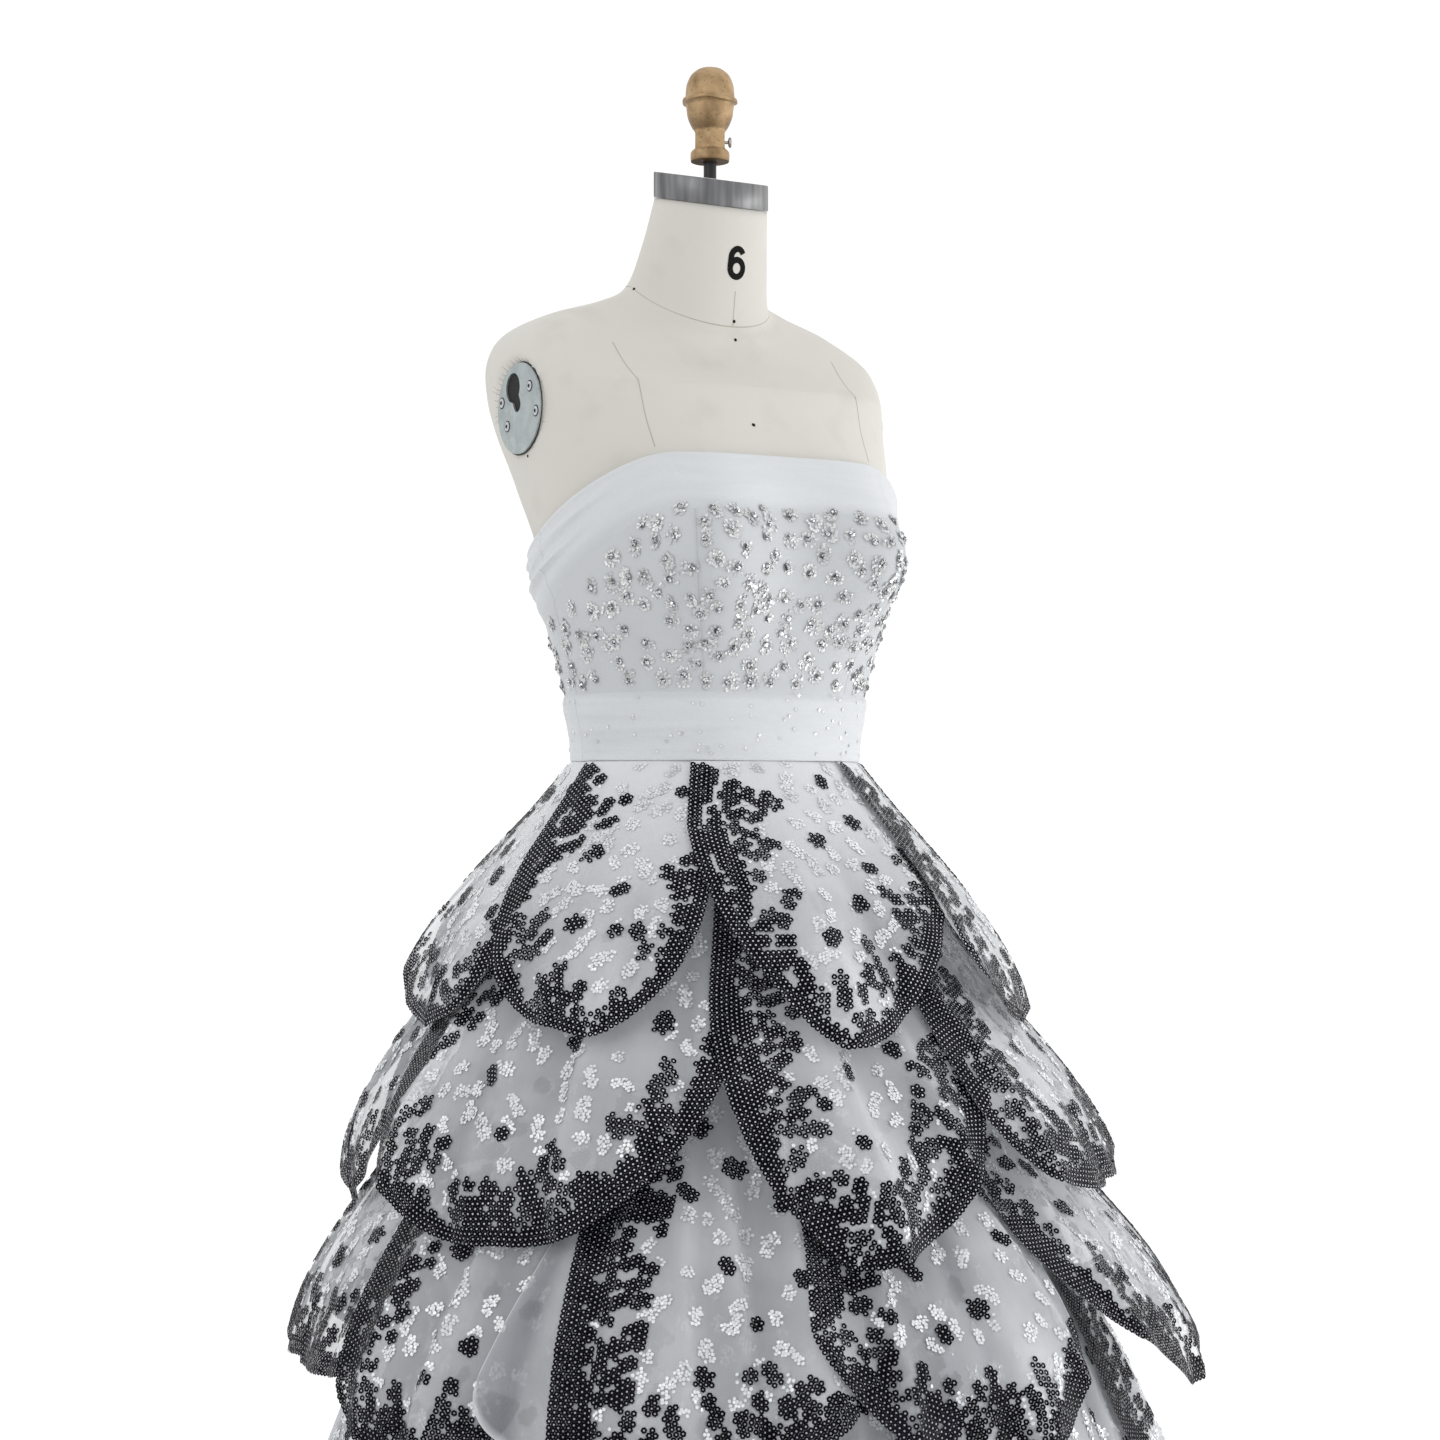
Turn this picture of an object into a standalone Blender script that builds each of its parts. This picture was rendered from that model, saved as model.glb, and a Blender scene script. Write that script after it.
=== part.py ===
"""A strapless midi dress with four tiers of scalloped petals, standing on a limbless dress form.

Metres, +Z up. The origin is on the floor under the post, the front faces -Y and the wearer's left is +X.
Azimuths are in degrees from the front, growing towards the wearer's left. Heights in the tables are
measured from the waist.
"""

import math
from bisect import bisect_right

import bmesh
import bpy
from mathutils import Matrix, Vector

WAIST = 1.040
SEAM_GAP = 0.0003

# The form, and the walls of cloth that lie on it. Offsets are outwards from the form's surface.
FORM_COLUMNS = 40
BODICE_INNER = 0.0015
BODICE_OUTER = 0.0033
BAND_INNER = 0.0049
BAND_WALL = 0.0016
BAND_FRONT_DEPTH = 0.047
BAND_BACK_DEPTH = 0.060
SASH_DEPTH = 0.055
NECKLINE_FRONT = 0.240
NECKLINE_BACK = 0.168
NECKLINE_FALL_FROM = 40.0
NECKLINE_FALL_TO = 112.0
PRINCESS_SEAM = 36.0
SIDE_SEAM = 90.0
ZIP_EDGE = 178.8
ZIP_TAPE_EDGE = 179.15
ZIP_END_DROP = 0.003
TRIM_EDGE = 177.0
SEAM_HALF_ANGLE = 0.07
# A column nearer than this to a cut edge is left out.
CLOSE = 0.5

# Sections of the form: height, half width, depth to the front, depth to the back, centre in Y, and
# how square the front and the back of the section are, where 2 is an ellipse.
FORM_SECTIONS = (
    (-0.230, 0.168, 0.103, 0.122, 0.000, 2.0, 2.0),
    (-0.180, 0.172, 0.108, 0.130, 0.000, 2.0, 2.0),
    (-0.130, 0.163, 0.106, 0.124, 0.000, 2.0, 2.0),
    (-0.090, 0.150, 0.103, 0.114, 0.000, 2.0, 2.0),
    (-0.045, 0.132, 0.098, 0.102, 0.000, 2.0, 2.0),
    (0.000, 0.118, 0.095, 0.095, 0.000, 2.0, 2.0),
    (0.040, 0.123, 0.098, 0.098, 0.000, 2.0, 2.0),
    (0.080, 0.133, 0.103, 0.105, 0.000, 2.0, 2.0),
    (0.115, 0.1435, 0.110, 0.112, 0.000, 2.0, 2.0),
    (0.150, 0.1505, 0.117, 0.116, 0.000, 2.0, 2.0),
    (0.180, 0.153, 0.119, 0.119, 0.002, 2.0, 2.1),
    (0.210, 0.1565, 0.116, 0.121, 0.008, 2.0, 2.4),
    (0.240, 0.160, 0.111, 0.120, 0.015, 2.1, 2.8),
    (0.270, 0.163, 0.104, 0.114, 0.026, 2.3, 3.4),
    (0.300, 0.165, 0.099, 0.108, 0.034, 2.5, 4.0),
    (0.325, 0.166, 0.084, 0.102, 0.036, 2.5, 4.0),
    (0.345, 0.157, 0.068, 0.089, 0.035, 2.4, 3.5),
    (0.362, 0.125, 0.058, 0.071, 0.033, 2.2, 2.8),
    (0.375, 0.084, 0.054, 0.058, 0.031, 2.0, 2.2),
    (0.388, 0.062, 0.052, 0.049, 0.030, 2.0, 2.0),
    (0.420, 0.053, 0.048, 0.046, 0.019, 2.0, 2.0),
    (0.458, 0.047, 0.044, 0.044, 0.008, 2.0, 2.0),
)
# How far each section tips: drop per metre towards the front, rise per metre towards the back.
TILT_ROWS = (
    (0.300, 0.00, 0.00),
    (0.345, 0.35, 0.08),
    (0.388, 0.66, 0.20),
    (0.420, 0.45, 0.22),
    (0.458, 0.242, 0.242),
)
BUST_AZIMUTH = 32.0
BUST_SPREAD = 18.5
BUST_HEIGHT = 0.160
BUST_RISE = 0.060
BUST_DEPTH = 0.035

# Soft folds drawn across the neckline band and the sash: share of the depth, and how far each stands out.
BAND_FOLDS = ((0.00, 0.0000), (0.20, 0.0012), (0.42, 0.0002), (0.70, 0.0010), (1.00, 0.0000))
SASH_FOLDS = ((0.00, 0.0000), (0.28, 0.0010), (0.52, 0.0001), (0.78, 0.0009), (1.00, 0.0000))

# The plain skirt that carries the tiers: height, half width, half depth of its outer face.
CARRIER_SECTIONS = (
    (-0.0003, 0.1202, 0.0972),
    (-0.1000, 0.1720, 0.1550),
    (-0.2400, 0.2160, 0.2120),
    (-0.3800, 0.2580, 0.2580),
    (-0.6000, 0.3120, 0.3120),
)
CARRIER_WALL = 0.0012
CARRIER_STEP = 7.5
# The skirt swings a little to the front left as it falls: height, distance.
SWING_ROWS = ((0.0, 0.0), (-0.20, 0.0), (-0.34, 0.012), (-0.45, 0.022), (-0.67, 0.030))
SWING_AZIMUTH = 59.0

PETAL_WALL = 0.0013
PETAL_LAP = 7.0
PETAL_ROWS = 5
SHINGLE_TOP = 0.0017
SHINGLE_HEM = 0.0036
FOLD_GROWTH = 1.6
PETAL_STATIONS = (-1.0, -0.92, -0.75, -0.5, -0.25, 0.0, 0.25, 0.5, 0.75, 0.92, 1.0)

# One row for each tier: seam height, hem height, hem radius, first slope, belly, stand-off at the seam.
TIERS = {
    1: (-0.0003, -0.210, 0.2560, 1.15, 0.54, 0.0006),
    2: (-0.1000, -0.355, 0.3170, 0.80, 1.68, 0.0008),
    3: (-0.2400, -0.495, 0.3690, 0.80, 1.55, 0.0008),
    4: (-0.3800, -0.670, 0.3850, 1.00, 0.00, 0.0008),
}

# One row for each petal: left edge at its seam, left edge at the hem, lowest point, height of that
# point, height where the edge turns into the hem, roundness of the left and of the right half.
PETALS = {
    1: (
        (-128.0, -124.0, -94.0, -0.207, -0.060, 1.8, 2.4),
        (-86.0, -79.0, -53.0, -0.203, -0.050, 2.3, 1.6),
        (-41.0, -33.0, -10.4, -0.215, -0.050, 1.25, 1.6),
        (34.0, 17.0, 42.0, -0.207, -0.120, 1.8, 1.7),
        (72.0, 64.0, 88.0, -0.205, -0.060, 1.6, 1.7),
        (108.0, 104.0, 126.0, -0.211, -0.060, 1.7, 1.6),
        (144.0, 142.0, 163.0, -0.205, -0.060, 1.5, 1.8),
        (180.0, 180.0, 208.0, -0.212, -0.055, 1.7, 1.6),
    ),
    2: (
        (-140.0, -138.0, -112.0, -0.352, -0.180, 1.7, 2.0),
        (-92.0, -93.0, -61.5, -0.357, -0.170, 2.6, 1.6),
        (-31.0, -35.5, -15.5, -0.364, -0.170, 1.4, 1.9),
        (14.0, 8.0, 33.0, -0.328, -0.230, 2.2, 2.2),
        (60.0, 57.0, 80.0, -0.353, -0.180, 1.6, 1.7),
        (105.0, 102.0, 124.0, -0.348, -0.180, 1.8, 1.6),
        (148.0, 146.0, 168.0, -0.358, -0.180, 1.6, 1.7),
        (186.0, 184.0, 205.0, -0.350, -0.180, 1.7, 1.8),
    ),
    3: (
        (-128.0, -127.0, -106.0, -0.470, -0.400, 1.8, 3.0),
        (-88.0, -85.0, -70.0, -0.510, -0.450, 2.2, 2.0),
        (-50.0, -67.0, -43.0, -0.514, -0.440, 2.0, 1.6),
        (-19.0, -25.0, -4.0, -0.505, -0.400, 1.4, 1.8),
        (9.0, 8.0, 36.0, -0.478, -0.310, 1.3, 2.2),
        (60.0, 58.0, 80.0, -0.494, -0.330, 1.6, 1.7),
        (103.0, 100.0, 122.0, -0.502, -0.330, 1.8, 1.6),
        (146.0, 144.0, 165.0, -0.489, -0.330, 1.6, 1.8),
        (188.0, 187.0, 208.0, -0.500, -0.330, 1.7, 1.7),
    ),
    4: (
        (-142.0, -140.0, -117.0, -0.668, -0.500, 1.7, 1.8),
        (-97.0, -96.0, -76.0, -0.672, -0.500, 1.8, 1.7),
        (-56.0, -55.0, -33.0, -0.664, -0.490, 1.6, 1.8),
        (-12.0, -11.0, 11.0, -0.670, -0.500, 1.8, 1.6),
        (33.0, 34.0, 55.0, -0.662, -0.490, 1.6, 1.8),
        (78.0, 78.0, 100.0, -0.670, -0.500, 1.7, 1.7),
        (123.0, 123.0, 146.0, -0.665, -0.500, 1.8, 1.6),
        (168.0, 170.0, 194.0, -0.670, -0.490, 1.6, 1.7),
    ),
}

# The folds of each tier: azimuth, half width in degrees, and how far it stands out at the hem.
FOLDS = {
    1: (
        (-121.0, 16.0, 0.010),
        (-99.0, 9.0, -0.004),
        (-84.0, 12.0, 0.006),
        (-52.0, 15.0, 0.007),
        (-31.0, 9.0, -0.005),
        (-7.0, 11.0, 0.010),
        (22.0, 11.0, 0.004),
        (46.0, 12.0, -0.003),
        (75.0, 13.0, 0.008),
        (97.0, 9.0, -0.004),
        (118.0, 12.0, 0.009),
        (150.0, 14.0, 0.006),
        (171.0, 10.0, -0.004),
        (196.0, 14.0, 0.009),
    ),
    2: (
        (-131.0, 11.0, -0.002),
        (-110.0, 13.0, -0.013),
        (-80.0, 13.0, 0.008),
        (-57.0, 7.0, -0.006),
        (-43.0, 8.0, 0.006),
        (-27.0, 7.0, -0.004),
        (-11.0, 9.0, 0.011),
        (9.0, 9.0, -0.004),
        (30.0, 12.0, 0.006),
        (52.0, 11.0, -0.004),
        (76.0, 12.0, 0.008),
        (104.0, 13.0, 0.009),
        (131.0, 9.0, -0.005),
        (152.0, 12.0, 0.010),
        (181.0, 11.0, 0.007),
        (208.0, 12.0, 0.006),
    ),
    3: (
        (-121.0, 11.0, -0.006),
        (-103.0, 8.0, -0.009),
        (-89.0, 8.0, 0.006),
        (-76.0, 7.0, 0.010),
        (-63.0, 7.0, -0.008),
        (-52.0, 6.0, 0.007),
        (-42.0, 6.0, 0.008),
        (-32.0, 6.0, -0.009),
        (-22.0, 7.0, 0.009),
        (-9.0, 8.0, -0.007),
        (4.0, 7.0, 0.011),
        (17.0, 8.0, -0.006),
        (31.0, 9.0, 0.007),
        (54.0, 11.0, 0.005),
        (74.0, 8.0, -0.006),
        (92.0, 9.0, 0.009),
        (109.0, 8.0, -0.006),
        (126.0, 10.0, 0.010),
        (146.0, 9.0, -0.007),
        (163.0, 9.0, 0.009),
        (181.0, 8.0, -0.006),
        (198.0, 10.0, 0.010),
        (219.0, 9.0, -0.006),
    ),
    4: (
        (-130.0, 9.0, 0.012),
        (-113.0, 8.0, -0.010),
        (-97.0, 8.0, 0.012),
        (-82.0, 7.0, -0.009),
        (-68.0, 8.0, 0.011),
        (-54.0, 7.0, -0.010),
        (-40.0, 8.0, 0.013),
        (-25.0, 8.0, -0.009),
        (-10.0, 8.0, 0.012),
        (5.0, 8.0, -0.010),
        (20.0, 8.0, 0.011),
        (36.0, 8.0, -0.009),
        (52.0, 9.0, 0.013),
        (69.0, 8.0, -0.010),
        (85.0, 8.0, 0.012),
        (101.0, 8.0, -0.009),
        (118.0, 9.0, 0.012),
        (135.0, 8.0, -0.010),
        (151.0, 8.0, 0.011),
        (167.0, 8.0, -0.009),
        (183.0, 8.0, 0.013),
        (199.0, 8.0, -0.010),
        (215.0, 8.0, 0.011),
    ),
}

# The neck cap, rod and turned knob above the neck; heights from the waist, centred on the neck.
NECK_CENTRE = 0.008
KNOB_CENTRE = 0.0096
NECK_TILT = 0.242
CAP_DEPTH = 0.021
CAP_LIP = 0.0008
CAP_BEVEL = 0.0008
CAP_SEGMENTS = 40
ROD_RADIUS = 0.0053
ROD_TOP = 0.5032
KNOB_SEGMENTS = 24
KNOB_BORE = 0.0057
KNOB_BORE_TOP = 0.5035
# The knob from its collar to its crown: height, radius, and how far the section is six-sided.
KNOB_SECTIONS = (
    (0.4930, 0.0146, 0.0),
    (0.4942, 0.0159, 0.0),
    (0.5005, 0.0159, 0.0),
    (0.5030, 0.0132, 0.5),
    (0.5036, 0.0122, 1.0),
    (0.5165, 0.0121, 1.0),
    (0.5185, 0.0128, 0.3),
    (0.5235, 0.0160, 0.0),
    (0.5305, 0.0186, 0.0),
    (0.5400, 0.0200, 0.0),
    (0.5418, 0.0226, 0.0),
    (0.5440, 0.0224, 0.0),
    (0.5460, 0.0204, 0.0),
    (0.5560, 0.0193, 0.0),
    (0.5640, 0.0158, 0.0),
    (0.5693, 0.0090, 0.0),
)
KNOB_CROWN = 0.5710
SCREW_AZIMUTH = 59.0
SCREW_HEIGHT = 0.5092
SCREW_RADIUS = 0.0013
SCREW_BORE = 0.0017
SCREW_INNER = 0.0075
SCREW_SHOULDER = 0.0150
SCREW_HEAD = 0.0044
SCREW_HEAD_THICK = 0.0030
SCREW_DOME = 0.0004
SCREW_CHAMFER = 0.0008
SCREW_FACE = 0.0031
SCREW_BORE_END = 0.0300
BORE_RUN_OUT = 0.0050
SCREW_SEGMENTS = 16

# The steel plates let into the armholes, with a keyhole for an arm.
PLATE_X = 0.1620
PLATE_Y = 0.0345
PLATE_HEIGHT = 0.2825
PLATE_RADIUS = 0.0366
PLATE_THICK = 0.0016
PLATE_SEAT = 0.0003
SEAT_RUN_OUT = 0.05
PLATE_SEGMENTS = 36
KEYHOLE_BACK = 0.0100
KEYHOLE_RISE = 0.0175
KEYHOLE_RADIUS = 0.0120
KEYHOLE_SLOT = 0.0060
KEYHOLE_LENGTH = 0.0220
KEYHOLE_LEAN = 27.0
KEYHOLE_STEPS = 18
SLOT_STEPS = 8

# The plain stand.
POST_RADIUS = 0.016
POST_SEGMENTS = 24
BASE_SEGMENTS = 36
HUB_BORE_FLOOR = 0.020
# The base from its hub's rim down to the floor: radius, height.
BASE_PROFILE = (
    (0.028, 0.055),
    (0.030, 0.053),
    (0.034, 0.020),
    (0.042, 0.014),
    (0.206, 0.011),
    (0.210, 0.007),
    (0.210, 0.000),
)

# The zip at the centre back: its slider, and the tab that hangs from a cross pin.
SLIDER_HEIGHT = 0.158
SLIDER_WIDTH = 0.0064
SLIDER_LENGTH = 0.0090
SLIDER_THICK = 0.0018
SLIDER_LEAN = 9.0
LUG_INNER = 0.0017
LUG_OUTER = 0.0025
LUG_REACH = 0.0026
LUG_LENGTH = 0.0026
LUG_ROOT = 0.0006
PIN_RADIUS = 0.00045
PIN_STAND = 0.0015
TAB_HALF_WIDTH = 0.0013
TAB_BARREL = 0.00105
TAB_BORE = 0.00078
TAB_THICK = 0.0009
TAB_LENGTH = 0.0170
TAB_CHAMFER = 0.0006
TAB_TIP = 0.00018
SMALL_SEGMENTS = 12

COLOURS = {
    "canvas": ((0.66, 0.62, 0.55), 0.90, 0.0),
    "bodice_cloth": ((0.80, 0.82, 0.83), 0.70, 0.0),
    "tulle": ((0.86, 0.88, 0.89), 0.75, 0.0),
    "organza": ((0.62, 0.64, 0.67), 0.50, 0.0),
    "lining": ((0.80, 0.81, 0.83), 0.80, 0.0),
    "steel": ((0.45, 0.45, 0.45), 0.32, 1.0),
    "zinc": ((0.55, 0.59, 0.60), 0.45, 1.0),
    "gold_paint": ((0.50, 0.33, 0.15), 0.45, 0.6),
    "black_steel": ((0.03, 0.03, 0.03), 0.45, 0.8),
    "white_metal": ((0.75, 0.76, 0.77), 0.35, 0.6),
}


def clear_scene():
    for item in list(bpy.data.objects):
        bpy.data.objects.remove(item, do_unlink=True)


def new_collection(name):
    collection = bpy.data.collections.new(name)
    bpy.context.scene.collection.children.link(collection)
    return collection


def new_materials():
    made = {}
    for name, (colour, roughness, metallic) in COLOURS.items():
        made[name] = bpy.data.materials.new(name)
        made[name].use_nodes = True
        shader = made[name].node_tree.nodes["Principled BSDF"]
        shader.inputs["Base Color"].default_value = (*colour, 1.0)
        shader.inputs["Roughness"].default_value = roughness
        shader.inputs["Metallic"].default_value = metallic
    return made


clear_scene()
PARTS = new_collection("tiered_midi_dress")
CUTTERS = new_collection("cutters")
MATERIALS = new_materials()


def add_object(name, data, material, collection=None):
    item = bpy.data.objects.new(name, data)
    (collection or PARTS).objects.link(item)
    if material:
        item.data.materials.append(MATERIALS[material])
    return item


def mesh_object(name, points, faces, material, smooth_angle=40.0):
    mesh = bpy.data.meshes.new(name)
    mesh.from_pydata([tuple(point) for point in points], [], faces)
    mesh.validate()
    mesh.update()
    mesh.shade_smooth()
    mesh.set_sharp_from_angle(angle=math.radians(smooth_angle))
    return add_object(name, mesh, material)


def direction(azimuth):
    angle = math.radians(azimuth)
    return Vector((math.sin(angle), -math.cos(angle), 0.0))


def in_table(rows, key, column):
    """A value between two rows of a table whose first column is the key, rising or falling."""
    ordered = rows if rows[0][0] < rows[-1][0] else rows[::-1]
    if key <= ordered[0][0]:
        return ordered[0][column]
    for low, high in zip(ordered, ordered[1:]):
        if key <= high[0]:
            share = (key - low[0]) / (high[0] - low[0])
            return low[column] + (high[column] - low[column]) * share
    return ordered[-1][column]


def oval(azimuth, half_width, half_depth, power=2.0):
    """The radius of an ellipse, or of a squarer oval where the power is over 2."""
    angle = math.radians(azimuth)
    across = abs(math.sin(angle) / half_width) ** power
    along = abs(math.cos(angle) / half_depth) ** power
    return (across + along) ** (-1.0 / power)


def turn_between(a, b):
    return (a - b + 180.0) % 360.0 - 180.0


def bust(azimuth, height):
    rise = math.exp(-(((height - BUST_HEIGHT) / BUST_RISE) ** 2))
    left = math.exp(-((turn_between(azimuth, BUST_AZIMUTH) / BUST_SPREAD) ** 2))
    right = math.exp(-((turn_between(azimuth, -BUST_AZIMUTH) / BUST_SPREAD) ** 2))
    return BUST_DEPTH * rise * (left + right)


def form_corner(column, level, offset):
    """A point of the form's own grid, moved out by an offset."""
    azimuth = column * 360.0 / FORM_COLUMNS
    height, half_width, front, back, centre, front_power, back_power = FORM_SECTIONS[level]
    if math.cos(math.radians(azimuth)) > 0.0:
        radius = oval(azimuth, half_width, front, front_power) + bust(azimuth, height)
    else:
        radius = oval(azimuth, half_width, back, back_power)
    point = direction(azimuth) * (radius + offset)
    tilt = in_table(TILT_ROWS, height, 1 if point.y < 0.0 else 2)
    return Vector((point.x, point.y + centre, WAIST + height + tilt * point.y))


def form_point(azimuth, height, offset):
    """A point on the flat facets of the form, or that far outside them."""
    heights = [row[0] for row in FORM_SECTIONS]
    level = min(max(bisect_right(heights, height) - 1, 0), len(heights) - 2)
    rise = (height - heights[level]) / (heights[level + 1] - heights[level])
    place = (azimuth % 360.0) * FORM_COLUMNS / 360.0
    column = int(math.floor(place + 1e-9))
    across = place - column
    near = form_corner(column, level, offset)
    far = form_corner(column + 1, level + 1, offset)
    if across > rise:
        corner = form_corner(column + 1, level, offset)
        return near + (corner - near) * across + (far - corner) * rise
    corner = form_corner(column, level + 1, offset)
    return near + (far - corner) * across + (corner - near) * rise


def wall_object(name, outer, inner, material):
    """A closed wall between two grids of points, rows by columns, with its four rims."""
    rows = len(outer)
    columns = len(outer[0])
    points = [point for row in outer for point in row] + [point for row in inner for point in row]
    back = rows * columns

    def at(row, column):
        return row * columns + column

    faces = []
    for row in range(rows - 1):
        for column in range(columns - 1):
            a = at(row, column)
            b = at(row, column + 1)
            c = at(row + 1, column + 1)
            d = at(row + 1, column)
            faces += [(a, b, c), (a, c, d)]
            faces += [(back + c, back + b, back + a), (back + d, back + c, back + a)]
    rim = [at(0, column) for column in range(columns)]
    rim += [at(row, columns - 1) for row in range(1, rows)]
    rim += [at(rows - 1, column) for column in range(columns - 2, -1, -1)]
    rim += [at(row, 0) for row in range(rows - 2, 0, -1)]
    for here, there in zip(rim, rim[1:] + rim[:1]):
        faces += [(there, here, back + here), (back + there, there, back + here)]
    return mesh_object(name, points, faces, material)


def loft_object(name, rings, material, smooth_angle=40.0):
    """A closed solid through rings of points, listed from the lowest up, with flat ends."""
    count = len(rings[0])
    points = [point for ring in rings for point in ring]
    faces = []
    for level in range(len(rings) - 1):
        for index in range(count):
            after = (index + 1) % count
            a = level * count + index
            b = level * count + after
            faces += [(a, b, b + count), (a, b + count, a + count)]
    last = (len(rings) - 1) * count
    faces.append(tuple(range(count - 1, -1, -1)))
    faces.append(tuple(range(last, last + count)))
    return mesh_object(name, points, faces, material, smooth_angle)


def turned_object(name, profile, segments, material, centre=(0.0, 0.0), collection=None):
    """A turned solid from a profile of radius and height, listed from the top down its outer side."""
    mesh = bpy.data.meshes.new(name)
    edges = [(index, index + 1) for index in range(len(profile) - 1)]
    mesh.from_pydata([(radius, 0.0, height) for radius, height in profile], edges, [])
    item = add_object(name, mesh, material, collection)
    item.location = (centre[0], centre[1], 0.0)
    screw = item.modifiers.new("turn", "SCREW")
    screw.steps = segments
    screw.render_steps = segments
    screw.use_merge_vertices = True
    screw.merge_threshold = 0.00001
    screw.use_smooth_shade = True
    return item


def cut(item, cutter):
    cutter.hide_render = True
    cutter.display_type = "WIRE"
    modifier = item.modifiers.new("cut", "BOOLEAN")
    modifier.operation = "DIFFERENCE"
    modifier.solver = "EXACT"
    modifier.object = cutter
    return modifier


def rod_cutter(name, radius, start, end, segments):
    """A cylinder from one point to another, kept out of the model."""
    mesh = bpy.data.meshes.new(name)
    shape = bmesh.new()
    bmesh.ops.create_cone(
        shape, cap_ends=True, segments=segments, radius1=radius, radius2=radius, depth=(end - start).length
    )
    shape.to_mesh(mesh)
    shape.free()
    item = add_object(name, mesh, None, CUTTERS)
    item.matrix_world = Matrix.Translation((start + end) / 2) @ axis_turn(end - start)
    return item


def axis_turn(axis):
    return axis.to_track_quat("Z", "Y").to_matrix().to_4x4()


def neckline(azimuth):
    around = abs(turn_between(azimuth, 0.0))
    share = (around - NECKLINE_FALL_FROM) / (NECKLINE_FALL_TO - NECKLINE_FALL_FROM)
    share = min(max(share, 0.0), 1.0)
    return NECKLINE_FRONT + (NECKLINE_BACK - NECKLINE_FRONT) * share * share * (3.0 - 2.0 * share)


def form_azimuths(start, end):
    """The form's columns between two cut edges, and the edges."""
    step = 360.0 / FORM_COLUMNS
    inside = [index * step for index in range(-FORM_COLUMNS, FORM_COLUMNS + 1)]
    return [start] + [azimuth for azimuth in inside if start + CLOSE < azimuth < end - CLOSE] + [end]


BODICE_LEVELS = (0.0, 0.040, 0.080, 0.115, 0.150, 0.180, 0.210)
BODICE_TOP_MARGIN = 0.004


def build_bodice():
    """Centre front, two side fronts and two backs, parted by the princess, side and back seams."""
    panels = {
        "bodice_centre_front": (-PRINCESS_SEAM + SEAM_HALF_ANGLE, PRINCESS_SEAM - SEAM_HALF_ANGLE),
        "bodice_side_front_left": (PRINCESS_SEAM + SEAM_HALF_ANGLE, SIDE_SEAM - SEAM_HALF_ANGLE),
        "bodice_side_front_right": (-SIDE_SEAM + SEAM_HALF_ANGLE, -PRINCESS_SEAM - SEAM_HALF_ANGLE),
        "bodice_back_left": (SIDE_SEAM + SEAM_HALF_ANGLE, ZIP_EDGE),
        "bodice_back_right": (-ZIP_EDGE, -SIDE_SEAM - SEAM_HALF_ANGLE),
    }
    for name, (start, end) in panels.items():
        azimuths = form_azimuths(start, end)
        outer = []
        inner = []
        for row in range(len(BODICE_LEVELS) + 1):
            heights = [bodice_height(azimuth, row) for azimuth in azimuths]
            outer.append([form_point(a, h, BODICE_OUTER) for a, h in zip(azimuths, heights)])
            inner.append([form_point(a, h, BODICE_INNER) for a, h in zip(azimuths, heights)])
        wall_object(name, outer, inner, "bodice_cloth")


def bodice_height(azimuth, row):
    """The form's own levels while they lie under the neckline, then even steps up to it."""
    top = neckline(azimuth)
    under = [level for level in BODICE_LEVELS if level < top - BODICE_TOP_MARGIN]
    if row < len(under):
        return under[row]
    share = (row - len(under) + 1) / (len(BODICE_LEVELS) + 1 - len(under))
    return under[-1] + (top - under[-1]) * share


def build_trim(prefix, top, depth, folds):
    """A draped strip round the form in a front and two backs, with soft folds along it."""
    pieces = {
        "front": (-SIDE_SEAM + SEAM_HALF_ANGLE, SIDE_SEAM - SEAM_HALF_ANGLE),
        "back_left": (SIDE_SEAM + SEAM_HALF_ANGLE, TRIM_EDGE),
        "back_right": (-TRIM_EDGE, -SIDE_SEAM - SEAM_HALF_ANGLE),
    }
    for side, (start, end) in pieces.items():
        azimuths = form_azimuths(start, end)
        outer = []
        inner = []
        for share, stand in reversed(folds):
            heights = [top(azimuth) - depth(azimuth) * share for azimuth in azimuths]
            reach = BAND_INNER + BAND_WALL + stand
            outer.append([form_point(a, h, reach) for a, h in zip(azimuths, heights)])
            inner.append([form_point(a, h, BAND_INNER) for a, h in zip(azimuths, heights)])
        wall_object(f"{prefix}_{side}", outer, inner, "tulle")


def band_depth(azimuth):
    share = (NECKLINE_FRONT - neckline(azimuth)) / (NECKLINE_FRONT - NECKLINE_BACK)
    return BAND_FRONT_DEPTH + (BAND_BACK_DEPTH - BAND_FRONT_DEPTH) * share


def carrier_radius(azimuth, height):
    half_width = in_table(CARRIER_SECTIONS, height, 1)
    half_depth = in_table(CARRIER_SECTIONS, height, 2)
    return oval(azimuth, half_width, half_depth)


def skirt_place(azimuth, radius, height):
    """A point of the skirt, from its swung centre line."""
    swing = direction(SWING_AZIMUTH) * in_table(SWING_ROWS, height, 1)
    return swing + direction(azimuth) * radius + Vector((0.0, 0.0, WAIST + height))


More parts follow.
